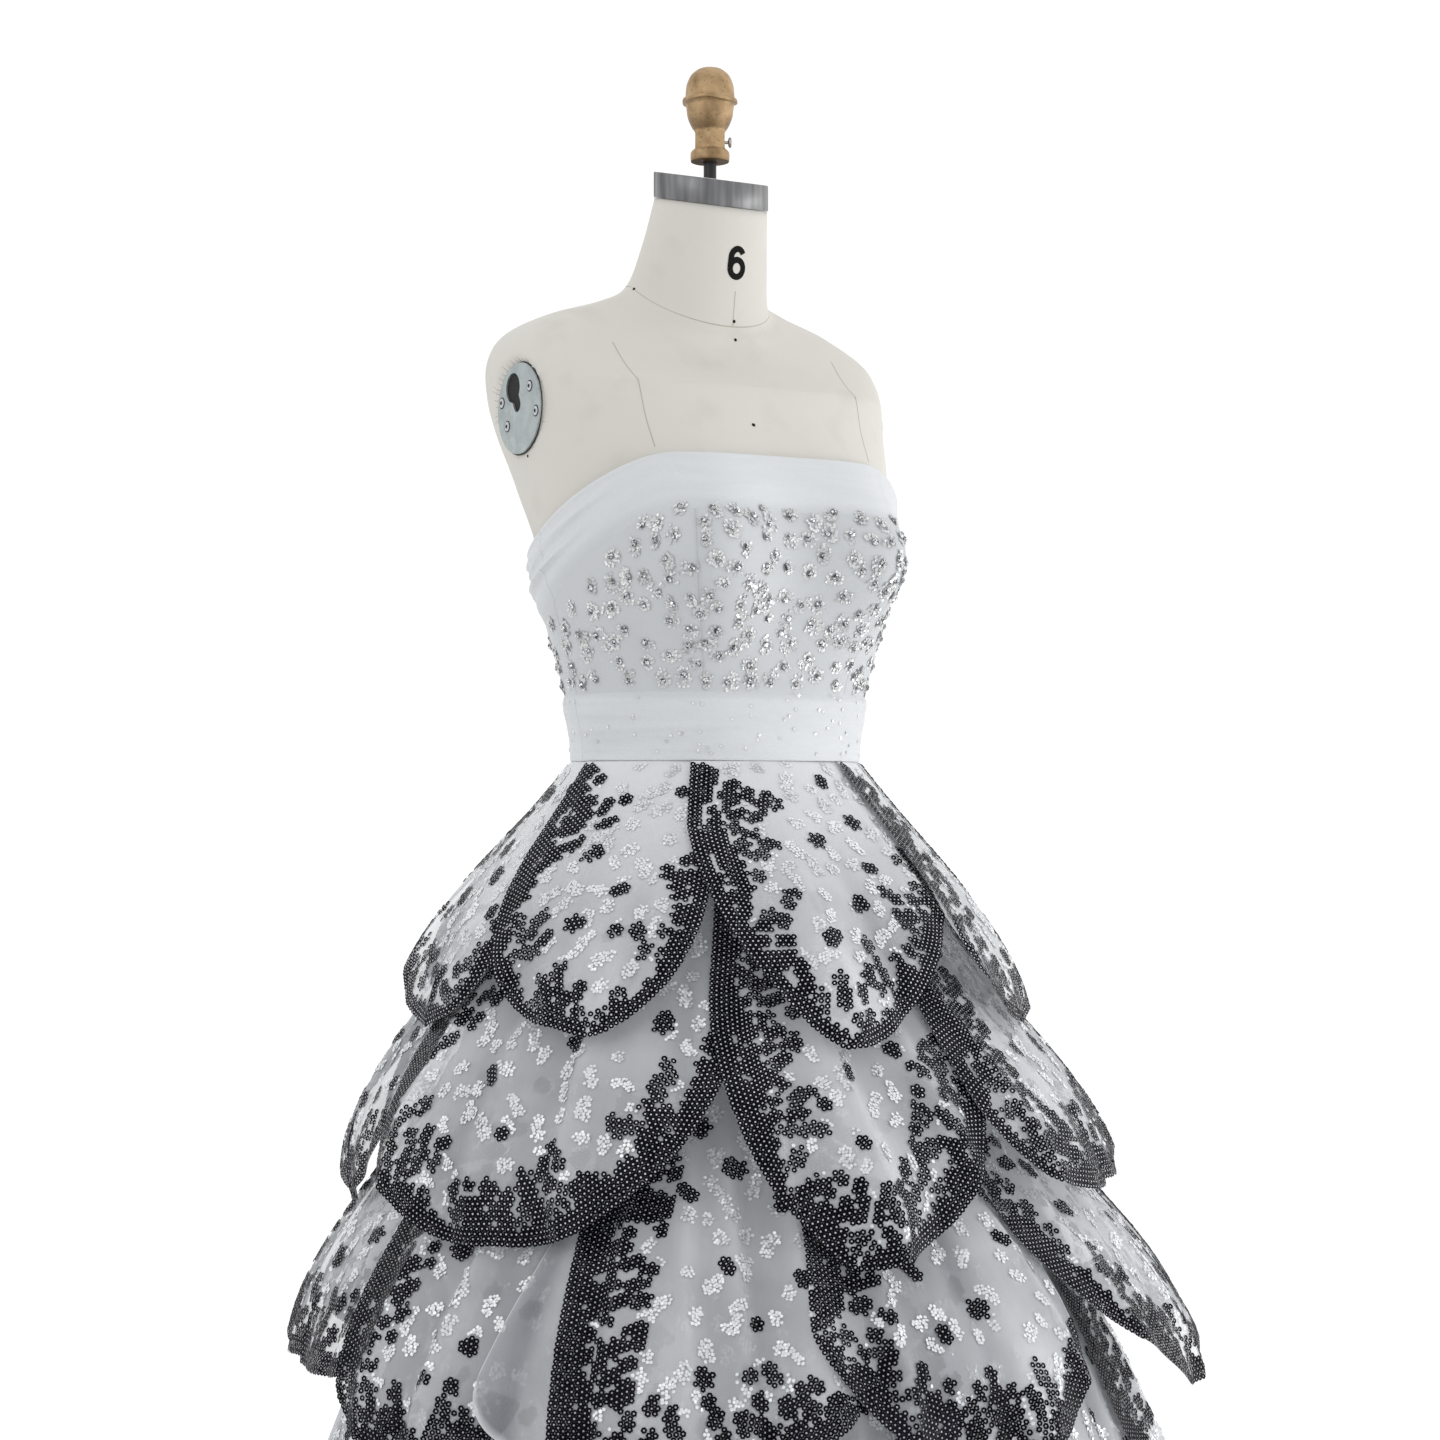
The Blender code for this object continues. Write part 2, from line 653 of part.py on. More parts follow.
def build_carrier():
    """The plain skirt under the tiers: a front and two backs that meet at the centre back."""
    half = math.degrees(SEAM_GAP / 2 / CARRIER_SECTIONS[0][2])
    pieces = {
        "carrier_front": (-SIDE_SEAM + half, SIDE_SEAM - half),
        "carrier_back_left": (SIDE_SEAM + half, 180.0 - half),
        "carrier_back_right": (180.0 + half, 270.0 - half),
    }
    for name, (start, end) in pieces.items():
        count = round((end - start) / CARRIER_STEP)
        azimuths = [start + (end - start) * index / count for index in range(count + 1)]
        outer = []
        inner = []
        for height, _, _ in reversed(CARRIER_SECTIONS):
            radii = [carrier_radius(azimuth, height) for azimuth in azimuths]
            outer.append([skirt_place(a, r, height) for a, r in zip(azimuths, radii)])
            inner.append([skirt_place(a, r - CARRIER_WALL, height) for a, r in zip(azimuths, radii)])
        wall_object(name, outer, inner, "lining")


def fold_height(tier, azimuth):
    total = 0.0
    for middle, half_width, height in FOLDS[tier]:
        away = abs(turn_between(azimuth, middle)) / half_width
        if away < 1.0:
            total += height * (0.5 + 0.5 * math.cos(math.pi * away))
    return total


def tier_share(tier, height):
    seam, hem = TIERS[tier][:2]
    return (seam - height) / (seam - hem)


def tier_radius(tier, azimuth, height):
    """The middle of a tier's cloth: it leaves the carrier, bellies out and waves towards the hem."""
    seam, _, hem_radius, slope, belly, stand = TIERS[tier]
    share = min(tier_share(tier, height), 1.0)
    start = carrier_radius(azimuth, seam) + stand + SHINGLE_TOP + PETAL_WALL / 2
    spread = slope * share + belly * share**2 + (1.0 - slope - belly) * share**3
    return start + (hem_radius - start) * spread + fold_height(tier, azimuth) * share**FOLD_GROWTH


def petal_hem(row, station):
    """The height of a petal's lower edge at a station from -1, its left edge, to 1, its right end."""
    low_height, turn_height, left_power, right_power = row[3:]
    power = left_power if station < 0.0 else right_power
    rise = (1.0 - abs(station) ** power) ** (1.0 / power) if abs(station) < 1.0 else 0.0
    return turn_height + (low_height - turn_height) * rise


def petal_azimuth(row, following, station, share):
    """The azimuth of a station, between the petal's left edge and a lap past the next petal's edge."""
    share = min(max(share, 0.0), 1.0)
    left = row[0] + (row[1] - row[0]) * share
    right = following[0] + (following[1] - following[0]) * share + PETAL_LAP
    right += 360.0 if right < left else 0.0
    low = row[2]
    return low + (low - left) * station if station < 0.0 else low + (right - low) * station


def build_petals():
    for tier, rows in PETALS.items():
        seam = TIERS[tier][0]
        for index, row in enumerate(rows):
            following = rows[(index + 1) % len(rows)]
            outer = []
            inner = []
            for level in range(PETAL_ROWS, -1, -1):
                outside = []
                inside = []
                for station in PETAL_STATIONS:
                    height = seam + (petal_hem(row, station) - seam) * level / PETAL_ROWS
                    share = tier_share(tier, height)
                    azimuth = petal_azimuth(row, following, station, share)
                    shingle = SHINGLE_TOP + (SHINGLE_HEM - SHINGLE_TOP) * share
                    middle = tier_radius(tier, azimuth, height) - shingle * station
                    outside.append(skirt_place(azimuth, middle + PETAL_WALL / 2, height))
                    inside.append(skirt_place(azimuth, middle - PETAL_WALL / 2, height))
                outer.append(outside)
                inner.append(inside)
            wall_object(f"tier{tier}_petal{index + 1}", outer, inner, "organza")


def build_form():
    """The closed torso with its neck, and a round seat in each armhole for a steel plate."""
    rings = []
    for level in range(len(FORM_SECTIONS)):
        rings.append([form_corner(column, level, 0.0) for column in range(FORM_COLUMNS)])
    torso = loft_object("form_torso", rings, "canvas", 60.0)
    for side, name in ((-1.0, "right"), (1.0, "left")):
        seat = Vector((side * (PLATE_X - PLATE_SEAT), PLATE_Y, WAIST + PLATE_HEIGHT))
        far = seat + Vector((side * SEAT_RUN_OUT, 0.0, 0.0))
        cut(torso, rod_cutter(f"seat_{name}", PLATE_RADIUS + PLATE_SEAT, seat, far, PLATE_SEGMENTS))


def arc(centre, radius, start, end, count):
    """Points on an arc in a plane, angles in degrees from the first axis."""
    steps = [start + (end - start) * index / count for index in range(count + 1)]
    return [
        (centre[0] + radius * math.cos(math.radians(a)), centre[1] + radius * math.sin(math.radians(a)))
        for a in steps
    ]


def outline_object(name, outlines, thickness, material):
    """A flat piece cut to an outline, with holes, lying in its own XY plane."""
    curve = bpy.data.curves.new(name, "CURVE")
    curve.dimensions = "2D"
    curve.fill_mode = "BOTH"
    curve.extrude = thickness / 2
    for outline in outlines:
        spline = curve.splines.new("POLY")
        spline.points.add(len(outline) - 1)
        for point, place in zip(spline.points, outline):
            point.co = (place[0], place[1], 0.0, 1.0)
        spline.use_cyclic_u = True
    return add_object(name, curve, material)


def keyhole():
    """A round hole with a narrower slot below it, as one outline round the hole's centre."""
    join = math.degrees(math.asin(KEYHOLE_SLOT / KEYHOLE_RADIUS))
    round_part = arc((0.0, 0.0), KEYHOLE_RADIUS, -90.0 + join, 270.0 - join, KEYHOLE_STEPS)
    end = -(KEYHOLE_LENGTH - KEYHOLE_SLOT)
    return round_part + arc((0.0, end), KEYHOLE_SLOT, 180.0, 360.0, SLOT_STEPS)


def build_arm_plates():
    """The plates' own plane has the form's back as its first axis and up as its second."""
    lean = math.radians(KEYHOLE_LEAN)
    hole = []
    for across, up in keyhole():
        turned = (
            across * math.cos(lean) + up * math.sin(lean),
            -across * math.sin(lean) + up * math.cos(lean),
        )
        hole.append((turned[0] + KEYHOLE_BACK, turned[1] + KEYHOLE_RISE))
    rim = arc((0.0, 0.0), PLATE_RADIUS, 0.0, 360.0, PLATE_SEGMENTS)[:-1]
    for side, name in ((-1.0, "right"), (1.0, "left")):
        plate = outline_object(f"arm_plate_{name}", (rim, hole), PLATE_THICK, "zinc")
        turn = Matrix(((0.0, 0.0, 1.0), (1.0, 0.0, 0.0), (0.0, 1.0, 0.0))).to_4x4()
        place = Vector((side * (PLATE_X + PLATE_THICK / 2), PLATE_Y, WAIST + PLATE_HEIGHT))
        plate.matrix_world = Matrix.Translation(place) @ turn


def neck_ring(height, half_width, half_depth):
    """A ring in the tilted plane of the neck's top."""
    ring = []
    for index in range(CAP_SEGMENTS):
        azimuth = index * 360.0 / CAP_SEGMENTS
        point = direction(azimuth) * oval(azimuth, half_width, half_depth)
        ring.append(Vector((point.x, point.y + NECK_CENTRE, WAIST + height + NECK_TILT * point.y)))
    return ring


def build_neck_cap():
    neck_top, half_width, half_depth = FORM_SECTIONS[-1][:3]
    bottom = neck_top + SEAM_GAP
    top = bottom + CAP_DEPTH
    wide = half_width + CAP_LIP
    deep = half_depth + CAP_LIP
    rings = [
        neck_ring(bottom, wide, deep),
        neck_ring(top - CAP_BEVEL, wide, deep),
        neck_ring(top, wide - CAP_BEVEL, deep - CAP_BEVEL),
    ]
    loft_object("neck_cap", rings, "steel", 50.0)
    foot = top + SEAM_GAP
    rings = []
    for low in (True, False):
        ring = []
        for index in range(KNOB_SEGMENTS):
            point = direction(index * 360.0 / KNOB_SEGMENTS) * ROD_RADIUS
            tilt = NECK_TILT * (point.y + KNOB_CENTRE - NECK_CENTRE)
            height = foot + tilt if low else ROD_TOP
            ring.append(Vector((point.x, point.y + KNOB_CENTRE, WAIST + height)))
        rings.append(ring)
    loft_object("knob_rod", rings, "black_steel")


def build_knob():
    """The knob is turned, but its neck is six-sided, with a bore for the rod and one for the screw."""
    rings = []
    for height, radius, hexagon in KNOB_SECTIONS:
        ring = []
        for index in range(KNOB_SEGMENTS):
            angle = index * 360.0 / KNOB_SEGMENTS
            side = (angle % 60.0) - 30.0
            flat = radius / math.cos(math.radians(side))
            reach = radius + (flat - radius) * hexagon
            point = direction(angle + SCREW_AZIMUTH + 30.0) * reach
            ring.append(Vector((point.x, point.y + KNOB_CENTRE, WAIST + height)))
        rings.append(ring)
    knob = loft_object("knob", rings, "gold_paint", 35.0)
    crown_cap(knob)
    bore_top = Vector((0.0, KNOB_CENTRE, WAIST + KNOB_BORE_TOP))
    below = Vector((0.0, KNOB_CENTRE, WAIST + KNOB_SECTIONS[0][0] - BORE_RUN_OUT))
    cut(knob, rod_cutter("rod_bore", KNOB_BORE, below, bore_top, KNOB_SEGMENTS))
    axis = direction(SCREW_AZIMUTH)
    middle = Vector((0.0, KNOB_CENTRE, WAIST + SCREW_HEIGHT))
    start = middle + axis * (SCREW_INNER - SEAM_GAP)
    cut(knob, rod_cutter("screw_bore", SCREW_BORE, start, middle + axis * SCREW_BORE_END, SCREW_SEGMENTS))


def crown_cap(knob):
    """Closes the knob's top with a point a little above its last ring."""
    shape = bmesh.new()
    shape.from_mesh(knob.data)
    shape.faces.ensure_lookup_table()
    top = max(shape.faces, key=lambda face: face.calc_center_median().z)
    poked = bmesh.ops.poke(shape, faces=[top])
    for vertex in poked["verts"]:
        vertex.co.z = WAIST + KNOB_CROWN
    shape.to_mesh(knob.data)
    shape.free()


def build_screw():
    """The thumbscrew: a thin shaft in the knob's bore and a round flat head, on one axis."""
    profile = (
        (0.0, SCREW_SHOULDER + SCREW_HEAD_THICK + SCREW_DOME),
        (SCREW_FACE, SCREW_SHOULDER + SCREW_HEAD_THICK),
        (SCREW_HEAD, SCREW_SHOULDER + SCREW_HEAD_THICK - SCREW_CHAMFER),
        (SCREW_HEAD, SCREW_SHOULDER + SCREW_CHAMFER),
        (SCREW_FACE, SCREW_SHOULDER),
        (SCREW_RADIUS, SCREW_SHOULDER - SCREW_DOME),
        (SCREW_RADIUS, SCREW_INNER),
        (0.0, SCREW_INNER),
    )
    screw = turned_object("thumbscrew", profile, SCREW_SEGMENTS, "white_metal")
    middle = Vector((0.0, KNOB_CENTRE, WAIST + SCREW_HEIGHT))
    screw.matrix_world = Matrix.Translation(middle) @ axis_turn(direction(SCREW_AZIMUTH))


def build_stand():
    bore = POST_RADIUS + SEAM_GAP
    bore_profile = ((0.0, HUB_BORE_FLOOR), (bore, HUB_BORE_FLOOR), (bore, BASE_PROFILE[0][1]))
    turned_object("stand_base", bore_profile + BASE_PROFILE + ((0.0, 0.0),), BASE_SEGMENTS, "black_steel")
    rings = []
    for height in (HUB_BORE_FLOOR + SEAM_GAP, WAIST + FORM_SECTIONS[0][0] - SEAM_GAP):
        turns = [index * 360.0 / POST_SEGMENTS for index in range(POST_SEGMENTS)]
        rings.append([direction(turn) * POST_RADIUS + Vector((0.0, 0.0, height)) for turn in turns])
    loft_object("stand_post", rings, "black_steel")


def build_zip_chain():
    """The closed zip between the two backs, from the waist seam to just under the neckline."""
    heights = [SEAM_GAP] + [level for level in BODICE_LEVELS[1:] if level < NECKLINE_BACK]
    heights.append(NECKLINE_BACK - ZIP_END_DROP)
    edges = (ZIP_TAPE_EDGE, 360.0 - ZIP_TAPE_EDGE)
    outer = [[form_point(a, h, BODICE_OUTER) for a in edges] for h in heights]
    inner = [[form_point(a, h, BODICE_INNER) for a in edges] for h in heights]
    wall_object("zip_chain", outer, inner, "white_metal")


def box_into(shape, low, high):
    matrix = Matrix.Translation((Vector(low) + Vector(high)) / 2)
    size = Vector(high) - Vector(low)
    bmesh.ops.create_cube(shape, size=1.0, matrix=matrix @ Matrix.Diagonal((*size, 1.0)))


def solid_mesh(name, fill):
    mesh = bpy.data.meshes.new(name)
    shape = bmesh.new()
    fill(shape)
    shape.to_mesh(mesh)
    shape.free()
    return mesh


def join(item, other):
    other.hide_render = True
    other.display_type = "WIRE"
    modifier = item.modifiers.new("join", "BOOLEAN")
    modifier.operation = "UNION"
    modifier.solver = "EXACT"
    modifier.object = other


def slider_frame():
    """The slider's own frame: X along its pin, Y out of the dress, Z up the zip."""
    seat = form_point(180.0, SLIDER_HEIGHT, BODICE_OUTER + SEAM_GAP)
    return Matrix.Translation(seat) @ Matrix.Rotation(math.radians(-SLIDER_LEAN), 4, "X")


def build_slider():
    frame = slider_frame()
    half = SLIDER_WIDTH / 2
    plate = solid_mesh(
        "zip_slider",
        lambda shape: box_into(
            shape, (-half, 0.0, -SLIDER_LENGTH / 2), (half, SLIDER_THICK, SLIDER_LENGTH / 2)
        ),
    )
    slider = add_object("zip_slider", plate, "white_metal")
    slider.matrix_world = frame
    for side, name in ((-1.0, "right"), (1.0, "left")):
        near, far = sorted((side * LUG_INNER, side * LUG_OUTER))
        lug = solid_mesh(
            f"lug_{name}",
            lambda shape, near=near, far=far: box_into(
                shape,
                (near, SLIDER_THICK - LUG_ROOT, -LUG_LENGTH / 2),
                (far, SLIDER_THICK + LUG_REACH, LUG_LENGTH / 2),
            ),
        )
        ear = add_object(f"lug_{name}", lug, None, CUTTERS)
        ear.matrix_world = frame
        join(slider, ear)
    reach = (LUG_INNER + LUG_OUTER) / 2
    stand = SLIDER_THICK + PIN_STAND
    start = frame @ Vector((-reach, stand, 0.0))
    end = frame @ Vector((reach, stand, 0.0))
    join(slider, rod_cutter("tab_pin", PIN_RADIUS, start, end, SMALL_SEGMENTS))


def build_tab():
    """The pull tab's outline seen along the pin: a bored barrel with the plate hanging from it."""
    half = TAB_THICK / 2
    join_angle = math.degrees(math.asin(half / TAB_BARREL))
    outline = arc((0.0, 0.0), TAB_BARREL, -90.0 + join_angle, 270.0 - join_angle, SMALL_SEGMENTS)
    outline += [(-half, -TAB_LENGTH + TAB_CHAMFER), (-TAB_TIP, -TAB_LENGTH)]
    outline += [(TAB_TIP, -TAB_LENGTH), (half, -TAB_LENGTH + TAB_CHAMFER)]
    bore = arc((0.0, 0.0), TAB_BORE, 0.0, 360.0, SMALL_SEGMENTS)[:-1]
    tab = outline_object("zip_pull_tab", (outline, bore), TAB_HALF_WIDTH * 2, "white_metal")
    pivot = slider_frame() @ Vector((0.0, SLIDER_THICK + PIN_STAND, 0.0))
    turn = Matrix(((0.0, 0.0, 1.0), (1.0, 0.0, 0.0), (0.0, 1.0, 0.0))).to_4x4()
    tab.matrix_world = Matrix.Translation(pivot) @ turn


def sash_height(azimuth):
    """The sash stands on the waist seam, so its top edge and its depth are the same all round."""
    return SASH_DEPTH


build_form()
build_neck_cap()
build_knob()
build_screw()
build_arm_plates()
build_stand()
build_bodice()
build_trim("neckline_band", neckline, band_depth, BAND_FOLDS)
build_trim("waist_sash", sash_height, sash_height, SASH_FOLDS)
build_zip_chain()
build_slider()
build_tab()
build_carrier()
build_petals()
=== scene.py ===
# A strapless midi dress with four tiers of scalloped petals, on a limbless dress form.
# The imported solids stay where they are; cloth, canvas and knob are made finer on the same surfaces.
# Azimuths are in degrees from the front, growing towards the wearer's left. Heights count from the waist.
import math

import bmesh
import bpy
import numpy as np
from mathutils import Matrix, Vector
from mathutils.bvhtree import BVHTree


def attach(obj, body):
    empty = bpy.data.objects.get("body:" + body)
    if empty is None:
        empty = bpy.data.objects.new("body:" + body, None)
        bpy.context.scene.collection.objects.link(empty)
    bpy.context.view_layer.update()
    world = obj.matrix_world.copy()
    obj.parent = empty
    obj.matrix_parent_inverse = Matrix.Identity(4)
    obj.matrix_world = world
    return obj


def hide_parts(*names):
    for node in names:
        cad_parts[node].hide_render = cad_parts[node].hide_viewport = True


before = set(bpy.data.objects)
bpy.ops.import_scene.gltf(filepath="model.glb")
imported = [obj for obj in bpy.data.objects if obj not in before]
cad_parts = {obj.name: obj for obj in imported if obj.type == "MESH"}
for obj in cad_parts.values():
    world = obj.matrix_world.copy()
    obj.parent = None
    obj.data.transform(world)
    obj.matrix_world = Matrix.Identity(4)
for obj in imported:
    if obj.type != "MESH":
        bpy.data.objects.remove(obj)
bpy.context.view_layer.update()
print("frame loaded:", len(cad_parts), "solids")

scene = bpy.context.scene
waist = 1.040
mainBody = "dress_and_form"


# Shader maths


class Field:
    # one socket of a shader, so that maths on it reads as an expression
    def __init__(self, finish, socket):
        self.finish = finish
        self.socket = socket

    def maths(self, operation, first, second, clamp=False):
        settings = {"operation": operation, "use_clamp": clamp}
        return self.finish.node("ShaderNodeMath", settings, {0: first, 1: second})

    def __add__(self, other):
        return self.maths("ADD", self, other)

    def __radd__(self, other):
        return self.maths("ADD", other, self)

    def __sub__(self, other):
        return self.maths("SUBTRACT", self, other)

    def __rsub__(self, other):
        return self.maths("SUBTRACT", other, self)

    def __mul__(self, other):
        return self.maths("MULTIPLY", self, other)

    def __rmul__(self, other):
        return self.maths("MULTIPLY", other, self)

    def clamped(self):
        return self.maths("ADD", self, 0.0, clamp=True)


class Tree:
    def __init__(self, tree):
        self.tree = tree

    def put(self, socket, value):
        if isinstance(value, Field):
            self.tree.links.new(value.socket, socket)
        elif isinstance(value, tuple) and len(value) == 3 and socket.type == "RGBA":
            socket.default_value = (*value, 1.0)
        else:
            socket.default_value = value

    def node(self, kind, settings=None, values=None, output=0):
        made = self.tree.nodes.new(kind)
        for key, value in (settings or {}).items():
            if key == "stops":
                ramp = made.color_ramp
                ramp.elements[0].position, ramp.elements[1].position = value[0][0], value[-1][0]
                for place, _ in value[1:-1]:
                    ramp.elements.new(place)
                for element, (_, colour) in zip(ramp.elements, value):
                    element.color = (*colour, 1.0) if isinstance(colour, tuple) else (colour,) * 3 + (1.0,)
            else:
                setattr(made, key, value)
        for key, value in (values or {}).items():
            self.put(made.inputs[key], value)
        return Field(self, made.outputs[output])

    def place(self):
        return self.node("ShaderNodeTexCoord", output="Object")

    def attribute(self, name, output="Fac"):
        return self.node("ShaderNodeAttribute", {"attribute_name": name}, output=output)

    def noise(self, scale, detail=2.0, roughness=0.5, vector=None):
        values = {"Vector": vector or self.place(), "Scale": scale, "Detail": detail, "Roughness": roughness}
        return self.node("ShaderNodeTexNoise", None, values, "Fac")

    def stretched(self, scale, vector=None):
        values = {0: vector or self.place(), 1: scale}
        return self.node("ShaderNodeVectorMath", {"operation": "MULTIPLY"}, values)

    def cells(self, scale, feature="F1", output="Distance", vector=None):
        values = {"Vector": vector or self.place(), "Scale": scale}
        return self.node("ShaderNodeTexVoronoi", {"feature": feature}, values, output)

    def ramp(self, value, *stops):
        return self.node("ShaderNodeValToRGB", {"stops": stops}, {"Fac": value})

    def spots(self, scale, detail, low, high, roughness=0.5, vector=None):
        # where a noise rises from low to high
        return self.ramp(self.noise(scale, detail, roughness, vector), (low, 0.0), (high, 1.0))

    def net(self, scale, width, vector=None):
        # fine strands between cells
        return self.ramp(self.cells(scale, "DISTANCE_TO_EDGE", vector=vector), (0.02, 1.0), (width, 0.0))

    def mix(self, factor, one, other):
        # inputs 0, 6, 7 and output 2 are the colour ones of the Mix node
        return self.node("ShaderNodeMix", {"data_type": "RGBA"}, {0: factor, 6: one, 7: other}, 2)


class Finish(Tree):
    # one material: constants go straight on the shader, and links come from nodes
    def __init__(self, name, **constants):
        self.material = bpy.data.materials.new(name)
        self.material.use_nodes = True
        super().__init__(self.material.node_tree)
        self.shader = self.tree.nodes["Principled BSDF"]
        for socket, value in constants.items():
            self.put(self.shader.inputs[socket.replace("_", " ")], value)

    def colour(self, value):
        self.put(self.shader.inputs["Base Color"], value)

    def rough(self, value):
        self.put(self.shader.inputs["Roughness"], value)

    def bump(self, height, strength, distance):
        values = {"Height": height, "Strength": strength, "Distance": distance}
        self.put(self.shader.inputs["Normal"], self.node("ShaderNodeBump", None, values))


# Finishes


def organzaFinish():
    look = {
        "ridge": (0.95, 0.955, 0.97), "trough": (0.20, 0.21, 0.24), "pale": (0.93, 0.94, 0.95),
        "shaded": (0.42, 0.43, 0.46), "cover": 0.67,
    }
    cloth = Finish("organza", Roughness=0.5, Sheen_Weight=0.2, Sheen_Roughness=0.4, Specular_IOR_Level=0.3)
    flat = cloth.attribute("cut", "Vector")
    cloudy = cloth.noise(9.0, 3.0, vector=flat)
    streaks = cloth.noise(60.0, 2.0, vector=cloth.stretched((3.0, 0.5, 1.0), flat))
    grain = cloth.noise(900.0, 1.0, vector=flat)
    edge = cloth.attribute("edge")
    gather = cloth.attribute("gather")
    # painted shade in the troughs of the folds and painted light on their ridges; the cloth also lies closer
    # in the troughs
    height = (cloth.attribute("fold") + (cloudy - 0.5) * 0.8).clamped()
    body = cloth.mix(height, look["trough"], look["ridge"])
    # painted shade: darker towards the bottom of the skirt, less so on the side towards the light
    body = cloth.mix(cloth.attribute("low") * 0.50, body, look["shaded"])
    # whiter where the cloth is gathered at the seam, and painted light on the lit side of the top tier
    body = cloth.mix(gather, body, look["pale"])
    cloth.colour(cloth.mix(edge * 0.6, body, look["pale"]))
    alpha = look["cover"] + gather * 0.14 + (cloudy - 0.5) * 0.14 + (streaks - 0.5) * 0.05
    alpha = alpha + (grain - 0.5) * 0.08 - height * 0.08 + edge * 0.25
    cloth.put(cloth.shader.inputs["Alpha"], alpha.clamped())
    cloth.bump(streaks * 0.5 + grain * 0.5, 0.2, 0.0005)
    return cloth.material


def blackSequinFinish():
    look = {
        "ring": (0.002, 0.002, 0.003), "purpleSheen": (0.012, 0.010, 0.018),
        "dot": (0.46, 0.47, 0.50), "bright": (0.92, 0.93, 0.96), "hole": (0.27, 0.35),
    }
    disc = Finish("black_sequin", Specular_IOR_Level=0.04)
    tint = disc.attribute("tint")
    sheenPatches = disc.spots(22.0, 2.0, 0.45, 0.70)
    # the rings take a purple tint at random from sequin to sequin, and painted sheen in broad patches
    ring = disc.mix(tint * 0.35 + sheenPatches * 0.65, look["ring"], look["purpleSheen"])
    inner, outer = look["hole"]
    hole = disc.ramp(disc.attribute("rim"), (inner, 0.0), (outer, 1.0))
    # painted shade: the white middles darken towards the bottom, as less light gets under the lower tiers
    height = disc.node("ShaderNodeSeparateXYZ", None, {0: disc.place()}, 2)
    # the white middles are lighter at random from sequin to sequin, and as painted light in the sheen
    # patches
    spark = disc.mix(tint * 0.5 + sheenPatches * 0.5, look["dot"], look["bright"])
    spark = disc.mix(disc.ramp(height, (0.50, 0.55), (0.78, 0.0)), spark, look["purpleSheen"])
    disc.colour(disc.mix(hole, spark, ring))
    disc.rough(0.22 + tint * 0.16)
    return disc.material


silverLooks = {
    "silver_sequin": {"bright": (0.99, 0.99, 0.99), "grey": (0.70, 0.71, 0.74), "line": (0.46, 0.47, 0.50)},
    "motif_sequin": {"bright": (0.99, 0.99, 0.98), "grey": (0.60, 0.61, 0.61), "line": (0.26, 0.26, 0.26)},
}


def silverSequinFinish(name):
    look = silverLooks[name]
    disc = Finish(name, Metallic=0.30)
    tint = disc.attribute("tint")
    edge = disc.ramp(disc.attribute("rim"), (0.70, 0.0), (1.0, 1.0))
    disc.colour(disc.mix(edge * 0.45, disc.mix(tint, look["bright"], look["grey"]), look["line"]))
    disc.rough(0.16 + tint * 0.22)
    return disc.material


def crystalFinish():
    look = {"dark": (0.03, 0.032, 0.037), "light": (0.97, 0.98, 1.0)}
    stone = Finish("crystal", Metallic=0.85, Roughness=0.07, Coat_Weight=1.0, Coat_Roughness=0.03)
    facet = stone.attribute("tint")
    # painted reflections: each facet is dark or light
    stone.colour(stone.mix(facet, look["dark"], look["light"]))
    return stone.material


def bodiceFinish():
    look = {"light": (0.69, 0.705, 0.715), "shade": (0.56, 0.575, 0.59), "seam": (0.40, 0.42, 0.43)}
    cloth = Finish("bodice_cloth", Roughness=0.6, Sheen_Weight=0.4, Sheen_Roughness=0.45)
    flat = cloth.attribute("cut", "Vector")
    cloudy = cloth.noise(16.0, 3.0, vector=flat)
    net = cloth.net(1100.0, 0.12, flat)
    body = cloth.mix(cloudy, look["light"], look["shade"])
    # painted shade along the seams: the cloth darkens towards every cut edge
    cloth.colour(cloth.mix(cloth.attribute("edge") * 0.32, body, look["seam"]))
    cloth.bump(net * 0.5 + cloth.noise(120.0, 3.0, vector=flat) * 0.5, 0.25, 0.0005)
    return cloth.material


def tulleFinish():
    look = {"light": (0.84, 0.86, 0.87), "shade": (0.68, 0.70, 0.715)}
    cloth = Finish("tulle", Roughness=0.62, Sheen_Weight=0.5, Sheen_Roughness=0.5)
    flat = cloth.attribute("cut", "Vector")
    cloudy = cloth.noise(14.0, 3.0, vector=cloth.stretched((0.4, 1.6, 1.0), flat))
    net = cloth.net(900.0, 0.14, flat)
    layers = cloth.noise(30.0, 2.0, vector=cloth.stretched((0.25, 3.0, 1.0), flat))
    cloth.colour(cloth.mix(cloudy, look["light"], look["shade"]))
    alpha = 0.93 + (layers - 0.5) * 0.12 + net * 0.05 - cloth.attribute("edge") * 0.12
    cloth.put(cloth.shader.inputs["Alpha"], alpha.clamped())
    cloth.bump(layers * 0.5 + net * 0.2 + cloth.noise(160.0, 3.0, vector=flat) * 0.3, 0.35, 0.0007)
    return cloth.material


